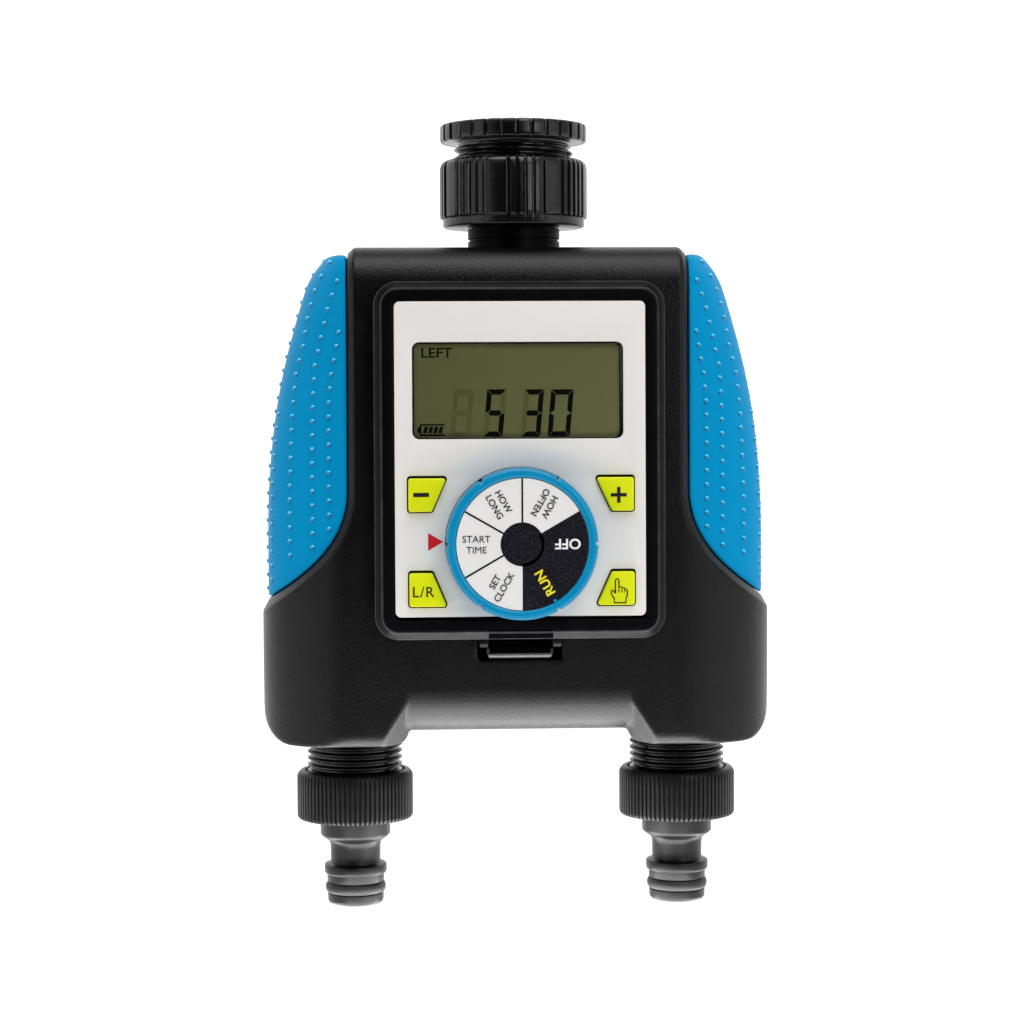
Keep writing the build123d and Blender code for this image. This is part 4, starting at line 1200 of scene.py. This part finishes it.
YL = -32.33
sl = math.tan(math.radians(5))
polys = seg_digit(-9.75, -4.6, -86.1, -73.5, "afgcd") + seg_digit(0.2, 5.4, -86.15, -73.55, "abgcd") + seg_digit(7.3, 13.3, -86.15, -73.58, "abcdef")
piece(flat_poly("lcd_digits", polys, YL), "control_module", "lcd_ink", ())
ghost = seg_digit(-18.6, -13.2, -86.1, -73.5, "abcdefg") + seg_digit(-9.75, -4.6, -86.1, -73.5, "be") + seg_digit(0.2, 5.4, -86.15, -73.55, "ef")
piece(flat_poly("lcd_ghost_digit", ghost, YL), "control_module", "lcd_ghost", ())
piece(text_mesh("lcd_label", "LEFT", -22.0, -63.75, YL, 2.55, bold=0.045, squeeze=1.12), "control_module", "lcd_ink", ())
bat = [[(-26.6, -82.65), (-20.0, -82.65), (-20.0, -83.1), (-26.6, -83.1)], [(-26.6, -85.35), (-20.0, -85.35), (-20.0, -85.8), (-26.6, -85.8)],
       [(-26.6, -82.65), (-26.15, -82.65), (-26.15, -85.8), (-26.6, -85.8)], [(-27.2, -83.5), (-26.6, -83.5), (-26.6, -84.95), (-27.2, -84.95)]]
for k in range(4):
    x = -25.8 + 1.35 * k
    bat.append([(x + 0.45, -83.35), (x + 1.45, -83.35), (x + 1.0, -85.1), (x, -85.1)])
piece(flat_poly("lcd_battery", bat, YL), "control_module", "lcd_ink", ())


# ---------------------------------------------------------------- keys
def key_cap(name, poly, body, node, corner=0.65):
    prof = [(0.0, -31.8), (0.0, -35.45)] + [(0.55 * (1 - math.cos(a)), -35.45 - 0.55 * math.sin(a)) for a in (math.pi / 2 * k / 5 for k in range(1, 6))]
    loops = []
    for off, y in prof:
        loops.append(at_y(round_poly(inset_poly(poly, off), max(corner - off * 0.4, 0.3), 5), y))
    cx = sum(p[0] for p in poly) / len(poly)
    cz = sum(p[1] for p in poly) / len(poly)
    last = loops[-1]
    for k, (s, dy) in enumerate(((0.8, 0.05), (0.5, 0.11), (0.22, 0.14))):
        loops.append([(cx + (p[0] - cx) * s, last[0][1] - dy, cz + (p[2] - cz) * s) for p in last])
    o = loft(name, loops, deg=40)
    return piece(o, body, "lime_key", [node])


key_cap("minus_cap", BTN["minus"], "minus_key", "minus_button")
key_cap("plus_cap", BTN["plus"], "plus_key", "plus_button")
key_cap("outlet_cap", BTN["outlet"], "outlet_key", "outlet_button")
key_cap("manual_cap", BTN["manual"], "manual_key", "manual_button")
YK = -36.16


def bar(x0, x1, z0, z1):
    return [(x0, z0), (x1, z0), (x1, z1), (x0, z1)]


piece(flat_poly("minus_mark", [bar(-28.45, -24.3, -101.85, -100.75)], YK), "minus_key", "ink_black", ())
px_, pz_, ar, th_ = 25.95, -101.6, 2.1, 0.46
piece(flat_poly("plus_mark", [[(px_ - ar, pz_ - th_), (px_ - th_, pz_ - th_), (px_ - th_, pz_ - ar), (px_ + th_, pz_ - ar), (px_ + th_, pz_ - th_),
                               (px_ + ar, pz_ - th_), (px_ + ar, pz_ + th_), (px_ + th_, pz_ + th_), (px_ + th_, pz_ + ar), (px_ - th_, pz_ + ar),
                               (px_ - th_, pz_ + th_), (px_ - ar, pz_ + th_)]], YK), "plus_key", "ink_black", ())
piece(text_mesh("outlet_mark", "L/R", -25.85, -127.0, YK, 2.75, bold=0.02, spacing=1.12), "outlet_key", "ink_black", ())


def stroke(name, pts, w, y, closed=False, thick=0.03):
    """a drawn line of even width, as a thin ribbon"""
    P = [np.array(p, float) for p in pts]
    n = len(P)
    L, R = [], []
    for i in range(n):
        a = P[(i - 1) % n] if (closed or i > 0) else P[i]
        b = P[(i + 1) % n] if (closed or i < n - 1) else P[i]
        t = (b - a) / max(np.linalg.norm(b - a), 1e-9)
        nrm = np.array([-t[1], t[0]])
        L.append(P[i] + nrm * w / 2)
        R.append(P[i] - nrm * w / 2)
    verts = [(p[0], y - thick / 2, p[1]) for p in L + R] + [(p[0], y + thick / 2, p[1]) for p in L + R]
    faces = []
    for i in range(n if closed else n - 1):
        j = (i + 1) % n
        faces.append((i, j, n + j, n + i))
        faces.append((2 * n + i, 3 * n + i, 3 * n + j, 2 * n + j))
        faces.append((i, 2 * n + i, 2 * n + j, j))
        faces.append((n + i, n + j, 3 * n + j, 3 * n + i))
    if not closed:
        for i in (0, n - 1):
            faces.append((i, n + i, 3 * n + i, 2 * n + i))
    o = new_obj(name, verts, faces, smooth=False)
    fix_normals(o)
    return o


# pointing hand, drawn as an outline: one raised finger, folded fingers, cuff
hx, hz = 26.05, -127.1
hand = [(-1.25, -2.85), (-1.25, -1.75), (-1.85, -0.9), (-1.95, 0.0), (-1.6, 0.25), (-1.2, -0.25), (-0.95, -0.6), (-0.95, 2.45), (-0.7, 2.85), (-0.35, 2.85),
        (-0.12, 2.45), (-0.12, 0.75), (0.12, 0.95), (0.5, 0.95), (0.68, 0.6), (0.9, 0.75), (1.2, 0.65), (1.35, 0.35), (1.6, 0.4), (1.85, 0.15),
        (1.9, -0.9), (1.55, -1.75), (1.5, -2.85)]
hand = stroke("hand_outline", [(hx + x * 1.12, hz + z * 1.12) for x, z in hand], 0.34, YK, closed=True)
folds = [stroke(f"fold{k}", [(hx + x * 1.12, hz + 0.75), (hx + x * 1.12, hz - 0.45)], 0.26, YK) for k, x in enumerate((-0.12, 0.62, 1.28))]
piece(join("manual_mark", [hand] + folds), "manual_key", "ink_black", ())
piece(flat_poly("pointer_mark", [[(-24.6, -111.45), (-24.6, -116.2), (-20.6, -113.85)]], -34.44), "control_module", "ink_red", ())
# painted shade: a dark line round each key opening, standing for the shaded gap
for k in BTN:
    piece(stroke(f"{k}_edge", hole_line(k), 0.12, -34.43, closed=True, thick=0.02), "control_module", "ink_black", ())


# ---------------------------------------------------------------- dial
NOTCH = [0, 61, 123, 180, -61, -124]


def notch_depth(t, half=1.7, depth=0.55):
    d = 0.0
    for a in NOTCH:
        u = (math.degrees(t) - a + 180) % 360 - 180
        if abs(u) < half:
            d = max(d, depth * min(1.0, (half - abs(u)) / (half * 0.55)))
    return d


def dial_radius(k, t, r, y):
    return r - notch_depth(t) if r > 19.0 else r


prof = [(17.55, -34.9), (19.6, -34.9), (19.85, -35.1), (19.95, -35.4), (19.98, -40.5)]
prof += [(19.98 - 1.15 * (1 - math.cos(a)), -42.85 - 1.15 * math.sin(a)) for a in (math.pi / 2 * k / 6 for k in range(7))]
prof += [(18.3, -44.02), (17.85, -43.95), (17.55, -43.75), (17.42, -43.45), (17.42, -43.0), (17.2, -42.4)]
prof += [(8.0, -42.4), (8.0, -41.0), (16.2, -41.0), (17.4, -40.2), (17.55, -36.0)]
ringo = lathe("dial_rim", [(r, y) for r, y in prof], centre=(0.0, DIAL_Z), nseg=720, radius=dial_radius, axis="Y", deg=30)
tab = loft("dial_tab", [at_y([(17.55 * math.cos(a) if j < 6 else 16.7 * math.cos(a), DIAL_Z + (17.55 if j < 6 else 16.7) * math.sin(a))
                              for j, a in enumerate([math.radians(-61.4 + 0.56 * i) for i in range(6)] + [math.radians(-58.6 - 0.56 * i) for i in range(6)])], y)
                        for y in (-43.0, -43.93)])
dialring = join("dial_rim", [ringo, tab])
piece(dialring, "dial", "dial_blue", ["dial_ring"])
disc = lathe("dial_face", [(0.0001, -43.3), (17.3, -43.3), (17.3, -43.6), (17.25, -43.66), (0.0001, -43.68)], centre=(0.0, DIAL_Z), nseg=160, axis="Y", deg=40)
piece(disc, "dial", "dial_print", ["dial_insert"])
YD = -43.72


def sector(r0, r1, a0, a1, n=90):
    pts = [(r1 * math.cos(a), DIAL_Z + r1 * math.sin(a)) for a in np.linspace(math.radians(a0), math.radians(a1), n)]
    pts += [(r0 * math.cos(a), DIAL_Z + r0 * math.sin(a)) for a in np.linspace(math.radians(a1), math.radians(a0), n)]
    return pts


piece(flat_poly("dial_dark_field", [sector(5.0, 17.28, -90, 30), circle(0, DIAL_Z, 5.75, 64)], YD), "dial", "dial_black", ())
lines = []
for a in (90, 150, 210):
    c, s = math.cos(math.radians(a)), math.sin(math.radians(a))
    lines.append([(5.5 * c - 0.24 * s, DIAL_Z + 5.5 * s + 0.24 * c), (17.25 * c - 0.24 * s, DIAL_Z + 17.25 * s + 0.24 * c),
                  (17.25 * c + 0.24 * s, DIAL_Z + 17.25 * s - 0.24 * c), (5.5 * c + 0.24 * s, DIAL_Z + 5.5 * s - 0.24 * c)])
piece(flat_poly("dial_lines", lines, YD), "dial", "dial_black", ())
YT = -43.76


def label(name, rows_, ang, rad_c, cap, mat, bold, pitch, squeeze=1.0):
    a = math.radians(ang)
    rot = math.radians(ang - 180)
    cx, cz = rad_c * math.cos(a), DIAL_Z + rad_c * math.sin(a)
    up = (-math.sin(rot), math.cos(rot))
    objs = []
    for k, t in enumerate(rows_):
        off = pitch * ((len(rows_) - 1) / 2 - k)
        objs.append(text_mesh(f"{name}_{k}", t, cx + up[0] * off, cz + up[1] * off, YT, cap, rot, bold, squeeze))
    o = join(name, objs) if len(objs) > 1 else renamed(objs[0], name)
    piece(o, "dial", mat, ())


label("mark_start", ["START", "TIME"], 180, 12.05, 1.78, "ink_black", 0.0, 2.85)
label("mark_how_long", ["HOW", "LONG"], 120, 12.1, 1.74, "ink_black", 0.028, 2.75)
label("mark_how_often", ["HOW", "OFTEN"], 60, 11.9, 1.74, "ink_black", 0.028, 2.75)
label("mark_set_clock", ["SET", "CLOCK"], 240, 12.1, 1.74, "ink_black", 0.028, 2.75)
label("mark_off", ["OFF"], 0, 11.9, 2.65, "ink_white", 0.085, 2.7, 1.03)
label("mark_run", ["RUN"], 300, 11.7, 2.35, "ink_yellow", 0.09, 2.7, 1.04)


# faint round mark of a mould pin on the left lobe
mark = stroke("pin_mark", circle(-52.6, -160.0, 1.55, 40), 0.16, -26.02, closed=True, thick=0.03)
piece(mark, "housing", "lip_grey", ())
dress(mark, "pin_ring")


# ================================================================ latch under the module
def latch_body():
    """catch bar hollowed for a fingertip, round-ended"""
    rows_ = []
    n = 40
    for i in range(n + 1):
        x = -9.0 + 18.0 * i / n
        ends = max(0.0, abs(x) - 7.9) / 1.1
        shrink = 1 - math.sqrt(max(0.0, 1 - min(ends, 1.0) ** 2))
        zt, zb = -142.9 - 0.55 * shrink, -146.0 + 0.55 * shrink
        yf, yb = -26.9 + 0.55 * shrink, -18.9
        prof = [(yb, zb), (yb, zt)]
        cyc, czc, rr = -29.0, -141.5, 3.6
        # section: back, top, hollow, front lip, underside
        m = 10
        a0 = math.atan2(zt - czc, math.sqrt(max(rr * rr - (zt - czc) ** 2, 0)))
        y_hit_top = cyc + math.sqrt(max(rr * rr - (zt - czc) ** 2, 0))
        z_hit_front = czc - math.sqrt(max(rr * rr - (yf - cyc) ** 2, 0))
        a_top = math.atan2(zt - czc, y_hit_top - cyc)
        a_fr = math.atan2(z_hit_front - czc, yf - cyc)
        if ends > 0.0:
            k = min(1.0, ends * 3)
        else:
            k = 0.0
        for j in range(m + 1):
            a = a_top + (a_fr - a_top) * j / m
            y, z = cyc + rr * math.cos(a), czc + rr * math.sin(a)
            # end caps stand full: blend out to the uncut corner
            yfull, zfull = (yf, zt) if j > m / 2 else (yf + (y_hit_top - yf) * (1 - 2 * j / m), zt)
            if j > m / 2:
                zfull = zt + (z_hit_front - zt) * (2 * j / m - 1)
            prof.append((y * (1 - k) + yfull * k, z * (1 - k) + zfull * k))
        prof += [(yf + 0.05, zb + 1.15), (yf + 0.25, zb + 0.75), (yf + 0.65, zb + 0.3), (yf + 1.2, zb)]
        rows_.append([(x, y, z) for y, z in prof])
    return loft("latch_bar", rows_, deg=40)


lb = latch_body()
piece(lb, "latch", "black_fitting", ["release_latch"])


# ================================================================ inlet: adapter disc, threads, swivel nut
def lerp_step(d, a, b):
    return min(1.0, max(0.0, (d - a) / (b - a)))


def tri(p):
    """rounded thread form, 0 at the root, 1 at the crest"""
    p = p % 1.0
    v = 1 - abs(2 * p - 1)
    return min(1.0, max(0.0, (v - 0.12) / 0.72))


def adapter():
    P = []          # (r, z, kind)
    top = [(14.0, 0.0), (19.2, 0.0), (19.75, -0.08), (20.12, -0.28), (20.3, -0.6)]
    P += [(r, z, "t") for r, z in top]
    P += [(20.3, -1.6, "t"), (20.3, -3.2, "t"), (20.3, -4.4, "t"), (20.15, -4.72, "t"), (19.85, -4.93, "t"), (19.3, -4.95, "t")]
    P += [(16.0, -4.95, ""), (15.3, -5.05, ""), (15.15, -5.3, "")]
    z = -5.4
    while z > -19.3:
        P.append((15.15, z, "m"))
        z -= 2.309 / 12
    P += [(15.15, -19.5, ""), (14.9, -19.8, ""), (9.3, -19.8, ""), (9.0, -19.5, ""), (9.0, -12.3, ""), (12.6, -12.2, ""), (12.6, -9.6, ""), (13.1, -9.4, "")]
    z = -9.3
    while z < -0.75:
        P.append((13.2, z, "f"))
        z += 1.814 / 12
    P += [(13.2, -0.6, ""), (13.75, -0.12, "")]

    def rad(k, t, r, z):
        kind = P[k][2]
        if kind == "t":
            u = (math.degrees(t) + 6.0) % 12.0 - 6.0
            g = lerp_step(abs(u), 4.4, 5.1)
            return r - 0.75 * g * (1 if r > 19 else 0)
        if kind == "m":
            return 15.15 + 1.40 * tri(z / 2.309 + t / (2 * math.pi)) * lerp_step(-z, 5.4, 6.2) * lerp_step(19.4 + z, 0.0, 1.2)
        if kind == "f":
            return 13.2 - 1.10 * tri(z / 1.814 + t / (2 * math.pi)) * lerp_step(-z, 0.7, 1.6)
        return r
    return lathe("tap_adapter", [(p[0], p[1]) for p in P], nseg=360, radius=rad, deg=33)


piece(adapter(), "inlet_swivel", "black_fitting", ["inlet_adapter"])


def nut():
    P = [(16.75, -9.9), (18.3, -9.9), (18.9, -10.0), (19.5, -10.3), (20.0, -10.8), (20.3, -11.4), (20.45, -12.2), (20.45, -14.0), (20.45, -18.0), (20.45, -22.0),
         (20.45, -25.0), (20.40, -25.7), (20.2, -26.0), (19.75, -26.15), (19.65, -26.4), (19.65, -28.0), (19.5, -28.35), (19.15, -28.5), (11.7, -28.5), (11.48, -28.3), (11.48, -25.3), (11.7, -25.1),
         (16.7, -25.1), (16.7, -10.2)]
    ribs = (12.6, 19.05, 25.5, 31.95)

    def rad(k, t, r, z):
        if r < 18 or z < -26.3:
            return r
        u = (math.degrees(t) + 15.4 + 90) % 45
        flat = (u if u < 22.5 else 45 - u) - 6.5
        d = min([flat] + [abs(u - b) - 1.6 for b in ribs])
        g = lerp_step(d, 0.0, 1.0)
        lim = 19.65 + (20.45 - 19.65) * (1 - g)
        return min(r, lim)
    return lathe("swivel_nut", P, nseg=720, radius=rad, deg=30)


piece(nut(), "inlet_swivel", "black_fitting", ["inlet_nut"])


# ================================================================ outlet connectors
def connector(tag, X):
    T, B = -179.2, -192.6
    P = [(13.9, T), (15.0, T), (15.35, T - 0.2), (15.95, T - 0.95), (16.15, T - 1.5), (16.15, T - 4), (16.15, T - 8), (16.15, B + 1.2), (16.05, B + 0.6), (15.75, B + 0.15), (15.3, B),
         (10.15, B), (9.85, B - 0.15), (9.78, B - 0.5), (9.78, -196.8), (9.66, -197.25), (9.2, -197.75), (8.2, -198.4), (7.45, -199.0), (7.12, -199.7), (7.0, -200.6), (6.95, -203.0), (6.95, -204.8),
         (7.08, -205.15), (7.45, -205.35), (8.3, -205.45), (8.6, -205.65), (8.7, -206.05), (8.7, -207.35), (8.6, -207.85), (8.35, -208.15), (8.02, -208.3), (7.95, -208.6), (7.95, -210.15), (7.8, -210.4),
         (6.75, -210.4), (6.75, -213.6), (7.68, -213.6), (7.82, -213.75), (7.82, -215.3), (7.68, -215.95), (7.3, -216.4), (6.8, -216.65), (6.3, -216.7), (4.9, -216.7), (4.6, -216.4), (4.6, -189.0), (4.9, -188.7),
         (13.1, -188.7), (13.3, -188.5)]
    n0 = len(P)
    z = -188.2
    while z < T - 0.8:
        P.append((13.3, z))
        z += 3.0

    def rad(k, t, r, z):
        if r > 15.1 and z > B - 0.01:
            u = math.degrees(t) % 4.8
            u = min(u, 4.8 - u)
            g = lerp_step(u, 1.15, 1.95)
            return min(r, 15.68 + 0.47 * (1 - g))
        return r
    return lathe(f"{tag}_hose_connector", P, centre=(X, 0.0), nseg=900, radius=rad, deg=33)


for tag, sx in (("left", -1), ("right", 1)):
    noz = piece(connector(tag, sx * OUTLET_X), f"{tag}_outlet", "black_fitting", [f"{tag}_connector"])
    dress(noz, "black_nose")
    prof = [(7.5 + 0.92 * math.cos(a), -212.0 + 1.5 * math.sin(a)) for a in (2 * math.pi * k / 20 for k in range(20))]
    piece(lathe(f"{tag}_ring_seal", prof, centre=(sx * OUTLET_X, 0.0), nseg=96, deg=60), f"{tag}_outlet", "seal_rubber", [f"{tag}_o_ring"])


# ================================================================ return springs of the valves
def coil_spring(tag, X, Y0, z0, z1, rad=2.7, wire=0.33, turns=7.5, end_pitch=0.7):
    """compression spring with closed ends"""
    mid = (z1 - z0 - 2 * end_pitch) / (turns - 2)
    loops = []
    n = int(turns * 36)
    for i in range(n + 1):
        t = turns * i / n
        z = z0 + end_pitch * min(t, 1.0) + mid * min(max(t - 1.0, 0.0), turns - 2) + end_pitch * max(t - turns + 1.0, 0.0)
        a = 2 * math.pi * t
        er = np.array((math.cos(a), math.sin(a), 0.0))
        tan = np.array((-math.sin(a), math.cos(a), mid / (2 * math.pi * rad)))
        tan /= np.linalg.norm(tan)
        eb = np.cross(tan, er)
        c = np.array((X, Y0, z)) + rad * er
        loops.append([tuple(c + wire * (math.cos(b) * er + math.sin(b) * eb)) for b in (2 * math.pi * k / 10 for k in range(10))])
    return loft(f"{tag}_valve_spring", loops, deg=50)


for tag, sx in (("left", -1), ("right", 1)):
    sprg = piece(coil_spring(tag, sx * OUTLET_X, SPRING_Y, -80.1, -66.0), "housing", "steel", [f"{tag}_return_spring"])
    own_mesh(sprg)


# ================================================================ finishes of the CAD nodes that stay shown
for sp in frame["record"]["subparts"]:
    o = frame["nodes"].get(sp["node"])
    if o is None or o.hide_render:
        continue
    if not o.material_slots:
        o.data.materials.append(None)
    for s in o.material_slots:
        s.link = "OBJECT"
        s.material = MATS[sp["material_slot"]]


# painted shade: a darker, less glossy copy of the black plastic for the neck, which sits in shadow under the nut
for n_ in ("inlet_manifold",):
    for s_ in frame["nodes"][n_].material_slots:
        s_.material = plastic("neck_black", (0.0010, 0.0010, 0.0012), rough=0.4, grain=0.1, grain_mm=0.5, vary=0.2, spec=0.06)


# ================================================================ camera, light, backdrop
cam = bpy.data.cameras.new("cam")
cam.sensor_width = 36.0
cam.lens = 2393.2 / 1026.0 * 36.0
cam.shift_x = -(514.4 - 513.0) / 1026.0
cam.shift_y = -(513.0 - 460.0) / 1026.0
co = bpy.data.objects.new("cam", cam)
bpy.context.scene.collection.objects.link(co)
yaw, pitch = math.radians(2.513), math.radians(-1.4891)
fwd = Vector((math.sin(yaw) * math.cos(pitch), math.cos(yaw) * math.cos(pitch), math.sin(pitch)))
right = Vector((math.cos(yaw), -math.sin(yaw), 0.0))
up = right.cross(fwd)
rho = 0.004919
r2 = (right * math.cos(rho) - up * math.sin(rho)).normalized()
u2 = r2.cross(fwd).normalized()
M = Matrix((r2, u2, -fwd)).transposed().to_4x4()
M.translation = Vector((-0.02941, -0.66798, -0.07577))
co.matrix_world = M
cam.clip_start = 0.01
bpy.context.scene.camera = co

# one sweep: floor curving up into the backdrop
FLOOR_Z = -0.262
prof = [(-12.0, FLOOR_Z)] + [(1.2 + 0.9 * math.sin(a), FLOOR_Z + 0.9 * (1 - math.cos(a))) for a in (math.pi / 2 * k / 16 for k in range(17))] + [(2.1, 4.0)]
v = [(x, y, z) for y, z in prof for x in (-12.0, 12.0)]
f = [(2 * k, 2 * k + 1, 2 * k + 3, 2 * k + 2) for k in range(len(prof) - 1)]
floor = new_obj("studio_sweep", v, f, True, 1.0)
m = plastic("studio_paper", (0.93, 0.93, 0.93), rough=0.8, grain=0.02, grain_mm=3, vary=0.004, spec=0.05, blotch_mm=300)
nt = m.node_tree
bsdf = [n for n in nt.nodes if n.type == "BSDF_PRINCIPLED"][0]
geo = nt.nodes.new("ShaderNodeNewGeometry")
sp_ = nt.nodes.new("ShaderNodeSeparateXYZ")
glow = nt.nodes.new("ShaderNodeMapRange")
glow.inputs["From Min"].default_value = -0.26
glow.inputs["From Max"].default_value = 0.55
glow.inputs["To Min"].default_value = 0.55
glow.inputs["To Max"].default_value = 0.62
nt.links.new(geo.outputs["Position"], sp_.inputs["Vector"])
nt.links.new(sp_.outputs["Z"], glow.inputs["Value"])
nt.links.new(glow.outputs["Result"], bsdf.inputs["Emission Strength"])
bsdf.inputs["Emission Color"].default_value = (1, 1, 1, 1)
dress(floor, "studio_paper")


def area(name, loc, target, size, size_y, power, colour=(1, 1, 1), spread=180):
    l = bpy.data.lights.new(name, "AREA")
    l.shape = "RECTANGLE"
    l.size, l.size_y = size, size_y
    l.energy = power
    l.color = colour
    l.spread = math.radians(spread)
    o = bpy.data.objects.new(name, l)
    bpy.context.scene.collection.objects.link(o)
    d = Vector(target) - Vector(loc)
    o.matrix_world = Matrix.Translation(Vector(loc)) @ d.to_track_quat("-Z", "Y").to_matrix().to_4x4()
    return o


C0 = (0, 0, -0.11)
area("key_top", (0.0, -0.42, 1.0), (0, -0.30, -0.1), 1.0, 0.75, 9.0)
area("side_left", (-1.10, -0.65, 0.35), C0, 0.5, 0.8, 0.9)
area("side_right", (1.10, -0.65, 0.35), C0, 0.5, 0.8, 0.9)
kick = area("floor_kick", (0.0, -0.035, FLOOR_Z + 0.006), (0.0, -0.035, 1.0), 0.20, 0.15, 0.72)
kick.visible_camera = False
low = bpy.data.collections.new("lit_from_below")
for o in bpy.data.objects:
    if o.type == "MESH" and any(w in o.name for w in ("shell", "bezel", "latch", "hose_connector", "ring_seal")):
        low.objects.link(o)
kick.light_linking.receiver_collection = low
area("strip_low", (0.46, -0.88, 0.10), (0, 0, -0.03), 0.28, 0.34, 1.15)
area("strip_high", (0.30, -0.80, 0.62), C0, 0.25, 0.25, 1.5)


def flag(name, x0, x1, p0, p1):
    """dark card that keeps the front of the room out of the reflections"""
    v = [(x0, *p0), (x1, *p0), (x1, *p1), (x0, *p1)]
    o = new_obj(name, v, [(0, 1, 2, 3)], False, 1.0)
    dress(o, "flag_cloth")
    o.visible_camera = False
    o.visible_shadow = False
    return o


plastic("flag_cloth", (0.004, 0.004, 0.004), rough=0.9, grain=0.1, grain_mm=2, vary=0.2, spec=0.02)
flag("flag_front", -0.75, 0.75, (-1.05, FLOOR_Z), (-1.05, 0.42))
flag("flag_floor", -0.75, 0.75, (-1.05, FLOOR_Z + 0.004), (-0.36, FLOOR_Z + 0.004))

w = bpy.data.worlds.new("studio")
bpy.context.scene.world = w
w.use_nodes = True
nt = w.node_tree
nt.nodes.clear()
N, L = nt.nodes, nt.links
out = N.new("ShaderNodeOutputWorld")
bg = N.new("ShaderNodeBackground")
tc = N.new("ShaderNodeTexCoord")
sep = N.new("ShaderNodeSeparateXYZ")
mr = N.new("ShaderNodeMapRange")
mr.inputs["From Min"].default_value = -0.10
mr.inputs["From Max"].default_value = 0.60
mr.inputs["To Min"].default_value = 0.33
mr.inputs["To Max"].default_value = 0.62
L.new(tc.outputs["Generated"], sep.inputs["Vector"])
L.new(sep.outputs["Y"], mr.inputs["Value"])
L.new(mr.outputs["Result"], bg.inputs["Strength"])
bg.inputs["Color"].default_value = (1, 1, 1, 1)
L.new(bg.outputs["Background"], out.inputs["Surface"])

sc = bpy.context.scene
sc.view_settings.view_transform = "Standard"
sc.view_settings.look = "None"
sc.view_settings.exposure = 0.0
sc.view_settings.gamma = 1.0
